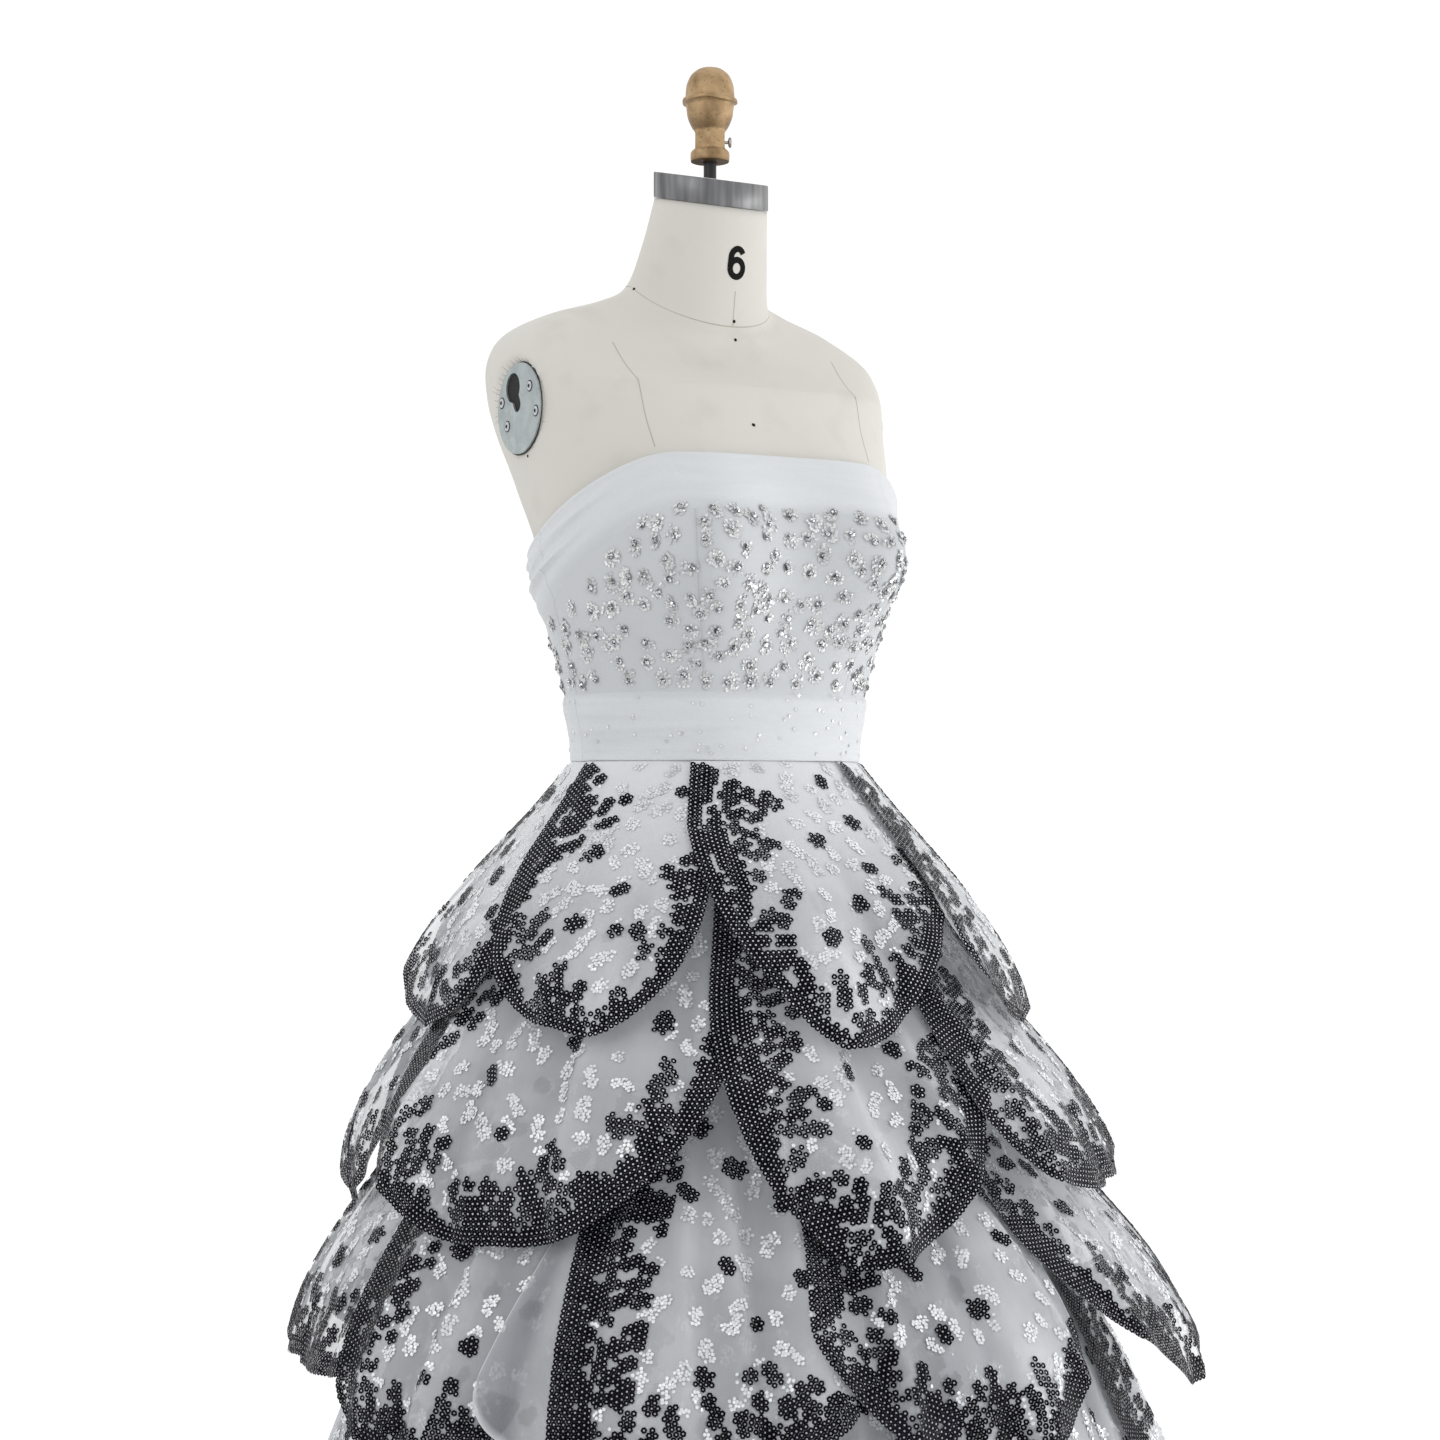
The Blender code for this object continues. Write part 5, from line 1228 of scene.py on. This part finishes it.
class Petal:
    # one petal's cloth, in its place and laid flat with its folds opened out
    def __init__(self, tier, index):
        self.tier, self.row = tier, petals[tier][index]
        self.following = petals[tier][(index + 1) % len(petals[tier])]
        self.folded = foldedBands.get((tier, index))
        self.seam, self.middle = tiers[tier][0], self.row[2]
        rows, columns = flatGrid["rows"], flatGrid["columns"]
        self.levels = np.arange(float(rows))
        self.heights = np.linspace(self.seam, self.row[3] - flatGrid["below"], rows)
        radii = tierRadius(tier, np.full(rows, self.middle), self.heights, plain=True)
        steps = np.hypot(np.diff(radii), np.diff(self.heights))
        self.lengths = np.concatenate([[0.0], np.cumsum(steps)])
        self.apex = radii[0] * self.lengths[-1] / (radii[-1] - radii[0])
        # the cloth's length along each level, over its folds, as an angle round the cone's tip
        half = columns // 2
        self.azimuths = self.middle + (np.arange(columns) - half) * flatGrid["step"]
        reach = tierRadius(tier, self.azimuths, self.heights[:, None])
        steps = np.linalg.norm(np.diff(direction(self.azimuths) * reach[..., None], axis=1), axis=-1)
        along = np.concatenate([np.zeros((rows, 1)), np.cumsum(steps, axis=1)], axis=1)
        self.angles = (along - along[:, [half]]) / (self.apex + self.lengths)[:, None]
        self.turns = np.linspace(self.angles.min(), self.angles.max(), columns)
        self.turned = np.array([np.interp(self.turns, line, self.azimuths) for line in self.angles])

    def hem(self, station):
        low, turn, leftPower, rightPower = self.row[3:]
        power = np.where(station < 0.0, leftPower, rightPower)
        inside = np.clip(1.0 - np.abs(station) ** power, 0.0, 1.0)
        uneven = np.sin(station * 7.0 + self.middle) + 0.7 * np.sin(station * 12.0 + 1.7 * self.middle)
        smooth = turn + (low - turn) * inside ** (1.0 / power)
        return smooth + petalCloth["hemUneven"] * uneven * (1.0 - station**2)

    def edges(self, share):
        share = np.clip(share, 0.0, 1.0)
        (top, hem), (nextTop, nextHem) = self.row[:2], self.following[:2]
        left = top + (hem - top) * share
        right = nextTop + (nextHem - nextTop) * share + petalCloth["lap"]
        return left, np.where(right < left, right + 360.0, right)

    def azimuth(self, station, share):
        # stations run from -1 at the left edge to 1 at the right one
        left, right = self.edges(share)
        return self.middle + np.where(station < 0.0, self.middle - left, right - self.middle) * station

    def station(self, azimuth, height):
        left, right = self.edges(tierShare(self.tier, height))
        away = azimuth - self.middle
        return away / np.where(away < 0.0, self.middle - left, right - self.middle)

    def point(self, azimuth, height):
        station = np.clip(self.station(azimuth, height), -1.0, 1.0)
        top, growth = petalCloth["shingleTop"], petalCloth["shingleHem"] - petalCloth["shingleTop"]
        shingle = top + growth * tierShare(self.tier, height)
        return skirtPlace(azimuth, tierRadius(self.tier, azimuth, height) - shingle * station, height)

    def facing(self, azimuth, height):
        # a place on the cloth, the outward direction there and two directions along it
        turn, drop = 0.15, 0.0006
        across = self.point(azimuth + turn, height) - self.point(azimuth - turn, height)
        up = self.point(azimuth, height + drop) - self.point(azimuth, height - drop)
        out, across = unit(np.cross(across, up)), unit(across)
        return self.point(azimuth, height), out, across, np.cross(out, across)

    def lay(self, azimuth, height):
        place = np.interp(-height, -self.heights, self.levels)
        reach = self.apex + np.interp(place, self.levels, self.lengths)
        angle = readTable(self.angles, place, (azimuth - self.azimuths[0]) / flatGrid["step"])
        return np.stack([reach * np.sin(angle), self.apex - reach * np.cos(angle)], axis=-1)

    def lift(self, flat):
        reach = np.hypot(flat[..., 0], self.apex - flat[..., 1]) - self.apex
        angle = np.arctan2(flat[..., 0], self.apex - flat[..., 1])
        place = np.interp(reach, self.lengths, self.levels)
        column = np.interp(angle, self.turns, np.arange(flatGrid["columns"]))
        return readTable(self.turned, place, column), np.interp(reach, self.lengths, self.heights)

    def inside(self, flat, edge):
        azimuth, height = self.lift(flat)
        station = self.station(azimuth, height)
        return (np.abs(station) < edge) & (height > self.hem(station)) & (height < self.seam - 0.002)

    def border(self):
        # down the left edge or a fold, then round the hem, in even steps, and how many of them go down
        start, low = -1.0, self.row[4]
        if self.folded:
            start = float(self.station(self.folded, low))
            low = float(self.hem(start))
        down = np.linspace(self.seam, low, 60)[:-1]
        edge = self.azimuth(-1.0, tierShare(self.tier, down))
        if self.folded:
            edge = np.full(len(down), self.folded)
        stations = np.sin(np.linspace(math.asin(start), np.pi / 2 * 0.90, 260))
        hem = self.hem(stations)
        around = self.azimuth(stations, tierShare(self.tier, hem))
        line = self.lay(np.concatenate([edge, around]), np.concatenate([down, hem]))
        side = np.linalg.norm(np.diff(line[:len(down)], axis=0), axis=1).sum()
        return resample(line, bandPlan["step"]), int(side / bandPlan["step"])


def resample(line, step):
    lengths = np.concatenate([[0.0], np.cumsum(np.linalg.norm(np.diff(line, axis=0), axis=1))])
    marks = np.arange(0.0, lengths[-1], step)
    return np.stack([np.interp(marks, lengths, line[:, axis]) for axis in (0, 1)], axis=-1)


def nearest(points, others):
    # distance to the nearest of the others, and which it is
    apart = np.linalg.norm(points[:, None, :] - others[None, :, :], axis=-1)
    which = apart.argmin(axis=1)
    return apart[np.arange(len(points)), which], which


# rows of hexagons lie closer than the sequins in a row
hexRise = 0.866
bandPlan = {
    "pitch": 0.0042, "firstRow": 0.0014, "rows": 19, "slack": 0.0012, "tight": 0.88, "step": 0.0016,
    "clumpApart": 0.0115, "clumpLong": (0.0085, 0.0145), "clumpShort": (0.0060, 0.0085), "solid": 0.0095,
    "tierWide": {1: 1.05, 2: 1.35, 3: 1.4, 4: 1.35}, "sideWide": (1.25, 1.15, 1.0), "sideFade": 60,
    "slitWide": 0.20, "slitDeep": 0.014, "holeWide": 0.0032, "holeLong": 0.0060, "holeDeep": 0.009,
    # depth from the edge, and the share of clumps that are there
    "chance": ((0.022, 1.0), (0.030, 0.93), (0.038, 0.76), (0.047, 0.46), (0.056, 0.20), (0.066, 0.0)),
}
islandPlan = {
    "apart": 0.043, "fromEdge": 0.056, "tries": 90, "steps": (0, 4), "wide": 0.12, "lean": 0.5,
    "pitch": bandPlan["pitch"],
}
silverPlan = {
    "apart": 0.0170, "fromEdge": 0.020, "tries": 420, "steps": (2, 9), "wide": 0.14, "lean": 0.4,
    "pitch": 0.0028, "fromBlack": 0.0042, "loose": 0.0004,
}
# the discs: radius, sides, how deep they are cupped, and how far they lean
sequinShapes = {
    "black": (0.00243, 6, 0.0004, 0.06), "silver": (0.0016, 5, 0.0003, 0.14),
    "motif": (0.00145, 6, 0.0002, 0.24), "fleck": (0.00145, 6, 0.0002, 0.15),
}


def patch(centre, plan, draws):
    # a clump of sequins on a hexagonal grid: those round a few spots that wander mostly one way
    steps, angle = draws.integers(*plan["steps"]), draws.uniform(-plan["lean"], plan["lean"])
    pitch = plan["pitch"]
    rows, columns = np.mgrid[-12:13, -12:13]
    spots = np.stack([(columns + 0.5 * (rows % 2)) * pitch, rows * pitch * hexRise], axis=-1).reshape(-1, 2)
    turns = np.radians(draws.choice((60.0, 120.0, 60.0, 120.0, 0.0, 180.0), steps))
    walk = np.stack([np.cos(turns), np.sin(turns)], axis=-1) * pitch
    kernels = np.concatenate([np.zeros((1, 2)), np.cumsum(walk, axis=0)])
    reach = np.where(draws.uniform(0.0, 1.0, len(kernels)) < plan["wide"], 1.8, 1.2) * pitch
    keep = (np.linalg.norm(spots[:, None] - kernels, axis=-1) < reach).any(axis=1)
    spots = spots[keep] - kernels.mean(axis=0)
    turn = angle + draws.uniform(-0.3, 0.3)
    cosine, sine = math.cos(turn), math.sin(turn)
    return centre + spots @ np.array([[cosine, sine], [-sine, cosine]])


def throwDarts(petal, border, plan, draws):
    # places on a petal, apart from each other and from its edge
    darts = draws.uniform(border.min(axis=0), border.max(axis=0), (plan["tries"], 2))
    darts = darts[petal.inside(darts, 0.93)]
    darts = darts[nearest(darts, border)[0] > plan["fromEdge"]]
    kept = np.zeros((0, 2))
    for dart in darts:
        if len(kept) == 0 or np.hypot(*(kept - dart).T).min() > plan["apart"] * draws.uniform(0.8, 1.25):
            kept = np.vstack([kept, dart])
    return kept


def edgeRows(petal, border, inward):
    # sequins in rows along a petal's edge, each row set into the gaps of the one before
    plan = bandPlan
    row = resample(border + inward * plan["firstRow"], plan["pitch"])
    spots, depths, nearby = [], [], []
    for step in range(plan["rows"]):
        depth = plan["firstRow"] + step * plan["pitch"] * hexRise
        if step:
            row = (row[1:] + row[:-1]) / 2.0
        away, which = nearest(row, border)
        row = row + inward[which] * (depth - away)[:, None]
        away, which = nearest(row, border)
        usable = away > depth - plan["slack"]
        row, which = row[usable], which[usable]
        kept = []
        for index, spot in enumerate(row):
            if not kept or math.dist(spot, row[kept[-1]]) > plan["tight"] * plan["pitch"]:
                kept.append(index)
        row, which = row[kept], which[kept]
        inside = petal.inside(row, 0.99)
        spots.append(row[inside])
        depths.append(np.full(int(inside.sum()), depth))
        nearby.append(which[inside])
    return np.concatenate(spots), np.concatenate(depths), np.concatenate(nearby)


def clumpSites(spots, deep, draws):
    # sequins round which clumps grow, further apart further in
    sites = []
    for index in draws.permutation(len(spots)):
        apart = bandPlan["clumpApart"] * np.interp(deep[index], [0.022, 0.050], [1.0, 1.35])
        if all(math.dist(spots[index], spots[other]) > apart for other in sites):
            sites.append(index)
    return np.array(sites)


def blackBand(petal, border, downCount, draws):
    # the rows are kept where clumps lie, which run together near the edge and part further in
    plan = bandPlan
    ahead = unit(np.gradient(border, axis=0))
    inward = np.stack([-ahead[:, 1], ahead[:, 0]], axis=-1)
    spots, depths, which = edgeRows(petal, border, inward)
    # the band is wider along the side edge than along the hem
    wide = np.interp(which, [0, downCount, downCount + plan["sideFade"]], plan["sideWide"])
    deep = depths / wide / plan["tierWide"][petal.tier]
    sites = clumpSites(spots, deep, draws)
    count = len(sites)
    # clumps lean inwards from the edge and up towards the waist
    lean = unit(0.6 * inward[which[sites]] + np.array([0.0, 0.5]) + draws.normal(0.0, 0.25, (count, 2)))
    shallow = np.interp(deep[sites], [0.020, 0.050], [1.0, 0.82])
    long = draws.uniform(*plan["clumpLong"], count) * shallow
    short = draws.uniform(*plan["clumpShort"], count) * shallow
    shown = draws.uniform(0.0, 1.0, count) < np.interp(deep[sites], *zip(*plan["chance"]))
    away = spots[:, None] - spots[sites]
    along = (away * lean).sum(axis=-1) / long
    across = (away[..., 0] * lean[:, 1] - away[..., 1] * lean[:, 0]) / short
    apart = np.where(shown, np.hypot(along, across), 9.0)
    first, second = np.argsort(apart, axis=1)[:, :2].T
    rows = np.arange(len(spots))
    keep = apart[rows, first] < 1.0
    # a slit between some neighbours, and a few small holes
    slit = (first * second + 3 * (first + second)) % 10 < 4
    slit &= apart[rows, second] - apart[rows, first] < plan["slitWide"]
    keep &= ~(slit & (deep > plan["slitDeep"]))
    gap = spots[:, None] - spots[draws.choice(len(spots), max(len(border) // 50, 1))]
    bare = np.hypot(gap[..., 0] / plan["holeWide"], gap[..., 1] / plan["holeLong"]).min(axis=1) < 1.0
    keep &= ~(bare & (deep > plan["holeDeep"]))
    solid = deep < plan["solid"]
    keep |= solid
    # only whole groups stay: a sequin must be beside one that has five neighbours
    near = np.linalg.norm(spots[:, None] - spots, axis=-1) < 1.35 * plan["pitch"]
    core = keep & (near[:, keep].sum(axis=1) > 5)
    keep &= near[:, core].any(axis=1) | solid
    return spots[keep] + draws.normal(0.0, 0.00010, (int(keep.sum()), 2))


def spread(points, apart):
    # drops those that would lie on an earlier one
    cells = {}
    kept = []
    for index, (x, y) in enumerate(points):
        cell = (int(math.floor(x / apart)), int(math.floor(y / apart)))
        close = False
        for dx in (-1, 0, 1):
            for dy in (-1, 0, 1):
                for other in cells.get((cell[0] + dx, cell[1] + dy), ()):
                    if (other[0] - x) ** 2 + (other[1] - y) ** 2 < apart * apart:
                        close = True
        if not close:
            cells.setdefault(cell, []).append((x, y))
            kept.append(index)
    return points[kept]


def discs(here, axes, shape, draws, shades=None):
    # many small cupped discs: a middle point and a ring for each
    radius, sides, cup, tilt = sequinShapes[shape]
    out, across, up = axes
    count = len(here)
    lean = draws.normal(0.0, tilt, (count, 2))
    normal = unit(out + across * lean[:, :1] + up * lean[:, 1:])
    first = unit(np.cross(up, normal))
    second = np.cross(normal, first)
    angles = np.arange(sides) * 2 * np.pi / sides
    start = draws.uniform(0, 2 * np.pi, (count, 1))
    cosine, sine = np.cos(angles + start)[..., None], np.sin(angles + start)[..., None]
    size = radius * draws.uniform(0.93, 1.05, (count, 1, 1))
    ring = here[:, None] + size * (cosine * first[:, None] + sine * second[:, None])
    middle = (here - normal * cup)[:, None]
    points = np.concatenate([middle, ring], axis=1)
    around = np.arange(sides)
    fan = np.stack([np.zeros(sides, int), 1 + around, 1 + (around + 1) % sides], axis=-1)
    faces = (np.arange(count)[:, None, None] * (sides + 1) + fan[None]).reshape(-1, 3)
    rim = np.tile(np.concatenate([[0.0], np.ones(sides)]), count)
    tint = draws.uniform(0.0, 1.0, count) ** 1.5
    if shades is not None:
        tint = 0.45 * tint + 0.55 * shades
    tint = np.repeat(tint, sides + 1)
    return points.reshape(-1, 3), faces, rim, tint


def sequinPiece(name, batches, material, slotName):
    points, faces = joined([(batch[0], batch[1]) for batch in batches])
    values = {key: np.concatenate([batch[at] for batch in batches]) for key, at in (("rim", 2), ("tint", 3))}
    piece = meshPiece(name, points, faces, material, values=values)
    settle(piece, slotName)
    return piece


def blackSpots(petal, border, downCount, draws):
    lumps = [blackBand(petal, border, downCount, draws)]
    lumps += [patch(centre, islandPlan, draws) for centre in throwDarts(petal, border, islandPlan, draws)]
    spots = spread(np.concatenate(lumps), bandPlan["pitch"] * 0.72)
    return spots[petal.inside(spots, 0.99)]


def silverSpots(petal, border, black, draws):
    spots, shades = [], []
    for centre in throwDarts(petal, border, silverPlan, draws):
        spots.append(patch(centre, silverPlan, draws))
        shades.append(np.full(len(spots[-1]), draws.uniform(0.0, 1.0)))
    spots, shades = np.concatenate(spots), np.concatenate(shades)
    seen = petal.inside(spots, 0.97) & (nearest(spots, black)[0] > silverPlan["fromBlack"])
    spots = spots[seen]
    return spots + draws.normal(0.0, silverPlan["loose"], spots.shape), shades[seen]


def sewnOn(petal, name, spots, shape, material, draws, shades=None):
    here, out, across, up = petal.facing(*petal.lift(spots))
    batch = discs(here + out * 0.0009, (out, across, up), shape, draws, shades)
    return sequinPiece(name, [batch], material, "organza")


def petalSheet(petal, name):
    # how light and shade are painted on the cloth, and how the gathered cloth at the seam is whiter: azimuth
    # and spread of the side towards the light, and the drops over which these change
    look = {"lit": 62.0, "litSpread": 42.0, "gather": 0.16, "lowFrom": 0.14, "lowOver": 0.40, "fold": 0.022}
    columns, rows = 89, 32
    even = np.linspace(-1.0, 1.0, columns)[None, :]
    stations = 0.55 * np.sin(even * np.pi / 2) + 0.45 * even
    levels = np.linspace(1.0, 0.0, rows)[:, None]
    heights = petal.seam + (petal.hem(stations) - petal.seam) * levels
    share = tierShare(petal.tier, heights)
    azimuths = petal.azimuth(stations, share)
    grid = petal.point(azimuths, heights)
    flat = petal.lay(azimuths, heights)
    flat3 = np.concatenate([flat, np.zeros(flat.shape[:2] + (1,))], axis=-1)
    # painted light: the side towards the light is lighter
    lit = bell(turnBetween(azimuths, look["lit"]), 0.0, look["litSpread"])
    gather = np.clip(1.0 - (waist + tiers[1][0] - grid[..., 2]) / look["gather"], 0.0, 1.0)
    # painted shade, growing towards the bottom and weaker on the side towards the light
    low = np.clip((waist - look["lowFrom"] - grid[..., 2]) / look["lowOver"], 0.0, 1.0)
    # the fold value paints shade in the troughs and light on the ridges
    values = {
        "edge": np.maximum(np.clip(1.0 - (1.0 - levels) / 0.03, 0.0, 1.0), np.abs(stations) > 0.995),
        "gather": np.maximum(gather, 0.75 * lit * (petal.tier == 1)),
        "fold": np.clip(0.52 + foldRise(petal.tier, azimuths, share) / look["fold"], 0.0, 1.0),
        "low": low * (1.0 - 0.85 * lit),
    }
    sheet = meshPiece(f"{name}_organza", grid, gridFaces(rows, columns), organza, values=values, cut=flat3)
    settle(sheet, "organza", name)
    return sheet, flat


def buildPetal(tier, index):
    petal = Petal(tier, index)
    name = f"tier{tier}_petal{index + 1}"
    draws = np.random.default_rng(100 * tier + index)
    sheet, flat = petalSheet(petal, name)
    border, downCount = petal.border()
    black = blackSpots(petal, border, downCount, draws)
    silver, shades = silverSpots(petal, border, black, draws)
    trimmings = [
        sewnOn(petal, f"{name}_black_sequins", black, "black", blackSequin, draws),
        sewnOn(petal, f"{name}_silver_sequins", silver, "silver", silverSequin, draws, shades),
    ]


def buildCarrier():
    wall = {
        "thick": 0.0012, "gap": 0.09, "side": 90.0, "folds": 11.0, "depth": 0.0022, "hem": -0.600,
        "seam": -0.0003,
    }
    pieces = {
        "carrier_front": (-wall["side"] + wall["gap"], wall["side"] - wall["gap"], 110),
        "carrier_back_left": (wall["side"] + wall["gap"], 180.0 - wall["gap"], 56),
        "carrier_back_right": (180.0 + wall["gap"], 270.0 - wall["gap"], 56),
    }
    for name, (start, end, count) in pieces.items():
        azimuths = np.linspace(start, end, count)[None, :]
        heights = np.linspace(wall["hem"], wall["seam"], 46)[:, None]
        drop = np.clip(heights / wall["hem"], 0.0, 1.0) ** 1.5
        wave = np.sin(np.radians(azimuths * wall["folds"]))
        wave = wave + 0.5 * np.sin(np.radians(azimuths * 19.0 + 50.0))
        radius = carrierRadius(azimuths, heights) - wall["depth"] * drop * (1.0 + 0.66 * wave)
        outer = skirtPlace(azimuths, radius, heights)
        inner = skirtPlace(azimuths, radius - wall["thick"], heights)
        cut = clothCut(outer)
        skirt = wallPiece(f"{name}_lining", outer, inner, lining, cut)
        settle(skirt, "lining", name)


# Crystals and silver sequins of the bodice


def gem(radius, high):
    # a round stone in a dark setting: eight crown facets, each of two triangles, and a flat table
    sides = 8
    angles = np.arange(sides) * 2 * np.pi / sides
    ring = np.stack([np.cos(angles), np.sin(angles)], axis=-1)
    levels = ((1.14, 0.05), (1.0, 0.45), (0.52, 1.0))
    points = [np.column_stack([ring * radius * size, np.full(sides, high * up)]) for size, up in levels]
    points = np.concatenate(points + [np.array([[0.0, 0.0, high]])])
    faces = []
    for level in (0, 1):
        for side in range(sides):
            a, b = level * sides + side, level * sides + (side + 1) % sides
            faces += [(a, b, b + sides), (a, b + sides, a + sides)]
    faces += [(2 * sides + side, 2 * sides + (side + 1) % sides, 3 * sides) for side in range(sides)]
    return points, np.array(faces)


# crystals closer at the front than at the sides; a facet's brightness, which is a painted reflection, and
# how often it comes
motifPlan = {
    "tries": 7000, "turn": 176.0, "heights": (0.060, 0.205), "front": 44.0, "frontFade": 30.0,
    "apart": 0.0142, "sideApart": 0.0018, "uneven": (-0.0020, 0.0040), "stone": 0.0025, "high": 0.0019,
    "scale": (0.85, 1.15), "facets": ((0.0, 0.24), (0.15, 0.20), (0.5, 0.24), (1.0, 0.32)), "setting": 0.28,
    "around": (14, 56), "patch": (0.0042, 0.0088), "shift": 0.0030, "flecks": 130,
    "fleckHeights": (0.005, 0.052),
}


def crossways(outward):
    # two directions across each outward one: a level one, and one that runs up
    level = unit(np.cross((0.0, 0.0, 1.0), outward))
    return level, np.cross(outward, level)


def motifPlaces(draws):
    plan = motifPlan
    azimuth = draws.uniform(-plan["turn"], plan["turn"], plan["tries"])
    height = draws.uniform(*plan["heights"], plan["tries"])
    side = np.clip((np.abs(azimuth) - plan["front"]) / plan["frontFade"], 0.0, 1.0)
    low = neckline(azimuth) - bandDepth(azimuth) + 0.004 - 0.016 * side
    azimuth, height, side = azimuth[height < low], height[height < low], side[height < low]
    places, outward = formPath(azimuth, height, bodiceWall["outer"])
    apart = plan["apart"] + plan["sideApart"] * side + draws.uniform(*plan["uneven"], len(side))
    kept = []
    for index, place in enumerate(places):
        if all(math.dist(places[other], place) > apart[index] for other in kept):
            kept.append(index)
    return places[kept], outward[kept]


def buildMotifs():
    plan = motifPlan
    levels, odds = zip(*plan["facets"])
    draws = np.random.default_rng(41)
    stone, faces = gem(plan["stone"], plan["high"])
    stones, facetReflections, sequins = [], [], []
    for place, out in zip(*motifPlaces(draws)):
        first, second = crossways(out)
        basis = np.stack([first, second, out])
        scale = draws.uniform(*plan["scale"])
        # every facet has its own points, so that each can be light or dark, as painted reflections
        stones.append(place + out * 0.0008 + (stone[faces.ravel()] * scale) @ basis)
        facets = draws.choice(levels, len(faces), p=odds)
        facets[:16] = plan["setting"]
        facetReflections.append(np.repeat(facets, 3))
        # the silver patch round a crystal lies to one side of it
        around = draws.integers(*plan["around"])
        size = draws.uniform(*plan["patch"], 2)
        angle = draws.uniform(0, 2 * np.pi, around)
        reach = np.sqrt(draws.uniform(0.0, 1.0, around))
        flat = np.stack([np.cos(angle), np.sin(angle)], axis=-1) * reach[:, None] * size
        flat = flat + draws.uniform(-plan["shift"], plan["shift"], 2)
        spots = place + first * flat[:, :1] + second * flat[:, 1:]
        axes = [np.broadcast_to(axis, (around, 3)) for axis in (out, first, second)]
        shades = np.full(around, draws.uniform(0.0, 1.0))
        sequins.append(discs(spots + out * 0.0006, axes, "motif", draws, shades))
    points = np.concatenate(stones)
    item = meshPiece(
        "bodice_crystals", points, np.arange(len(points)).reshape(-1, 3), crystal, smooth=False,
        values={"tint": np.concatenate(facetReflections)},
    )
    settle(item, "bodice_cloth")
    sequinPiece("bodice_sequins", sequins, motifSequin, "bodice_cloth")
    # a few loose sequins on the sash
    azimuth = draws.uniform(-plan["turn"], plan["turn"], plan["flecks"])
    places, outward = formPath(azimuth, draws.uniform(*plan["fleckHeights"], plan["flecks"]), 0.0066)
    flecks = discs(places + outward * 0.0008, (outward, *crossways(outward)), "fleck", draws)
    sequinPiece("sash_sequins", [flecks], motifSequin, "tulle")
    print(len(stones), "crystals")


print("building the skirt")
buildCarrier()
for tier, rowsOfTier in petals.items():
    for index in range(len(rowsOfTier)):
        buildPetal(tier, index)
    print("tier", tier)
buildMotifs()


# Stage, lights and camera


def buildStage():
    ring = np.arange(96) * 2 * np.pi / 96
    points = np.column_stack([1.5 * np.cos(ring), 1.5 * np.sin(ring), np.full(96, -0.0002)])
    points = np.concatenate([points, [[0.0, 0.0, -0.0002]]])
    around = np.arange(96)
    faces = np.stack([around, (around + 1) % 96, np.full(96, 96)], axis=-1)
    meshPiece("floor", points, faces, ground, smooth=False)


def addLight(name, azimuth, distance, height, aim, size, power):
    data = bpy.data.lights.new(name, "AREA")
    data.shape = "RECTANGLE"
    data.size, data.size_y = size
    data.energy = power
    lamp = bpy.data.objects.new(name, data)
    place = Vector(direction(np.array(float(azimuth)))) * distance + Vector((0.0, 0.0, height))
    turn = (Vector((0.0, 0.0, aim)) - place).to_track_quat("-Z", "Y")
    lamp.matrix_world = Matrix.Translation(place) @ turn.to_matrix().to_4x4()
    scene.collection.objects.link(lamp)


def buildLights():
    world = bpy.data.worlds.new("studio")
    scene.world = world
    world.use_nodes = True
    # brighter from behind and from the wearer's left than from the front
    sky = Tree(world.node_tree)
    sides = {0: sky.node("ShaderNodeTexCoord", output="Generated"), 1: (0.844, 0.536, 0.0)}
    facing = sky.node("ShaderNodeVectorMath", {"operation": "DOT_PRODUCT"}, sides, "Value")
    stops = (0.0, (0.62, 0.625, 0.63)), (0.5, (0.86, 0.87, 0.885)), (0.85, (1.0, 1.0, 1.0))
    background = world.node_tree.nodes["Background"]
    sky.put(background.inputs["Color"], sky.ramp(facing * 0.5 + 0.5, *stops))
    background.inputs["Strength"].default_value = 1.07
    addLight("side", 66.0, 3.0, 0.70, 0.30, (1.2, 1.2), 13.0)
    addLight("low", 44.0, 2.0, 0.25, 0.40, (1.2, 0.5), 7.0)
    addLight("front", -70.0, 3.4, 2.2, 1.25, (2.4, 2.4), 16.0)


def buildCamera():
    shot = {"azimuth": -31.0, "distance": 2.4, "height": 1.013, "lens": 73.25, "frame": 1440.0}
    camera = bpy.data.objects.new("camera", bpy.data.cameras.new("camera"))
    scene.collection.objects.link(camera)
    camera.data.lens = shot["lens"]
    camera.data.sensor_width = 36.0
    # the axis stands 4 pixels left of the frame's middle and the horizon 75 below it
    camera.data.shift_x = 4.0 / shot["frame"]
    camera.data.shift_y = 75.0 / shot["frame"]
    look = Vector(direction(np.array(shot["azimuth"])))
    camera.location = look * shot["distance"] + Vector((0.0, 0.0, shot["height"]))
    camera.rotation_mode = "QUATERNION"
    camera.rotation_quaternion = (-look).to_track_quat("-Z", "Y")
    scene.camera = camera


print("stage, lights and camera")
buildStage()
buildLights()
buildCamera()
scene.view_settings.view_transform = "Standard"
scene.cycles.transparent_max_bounces = 48
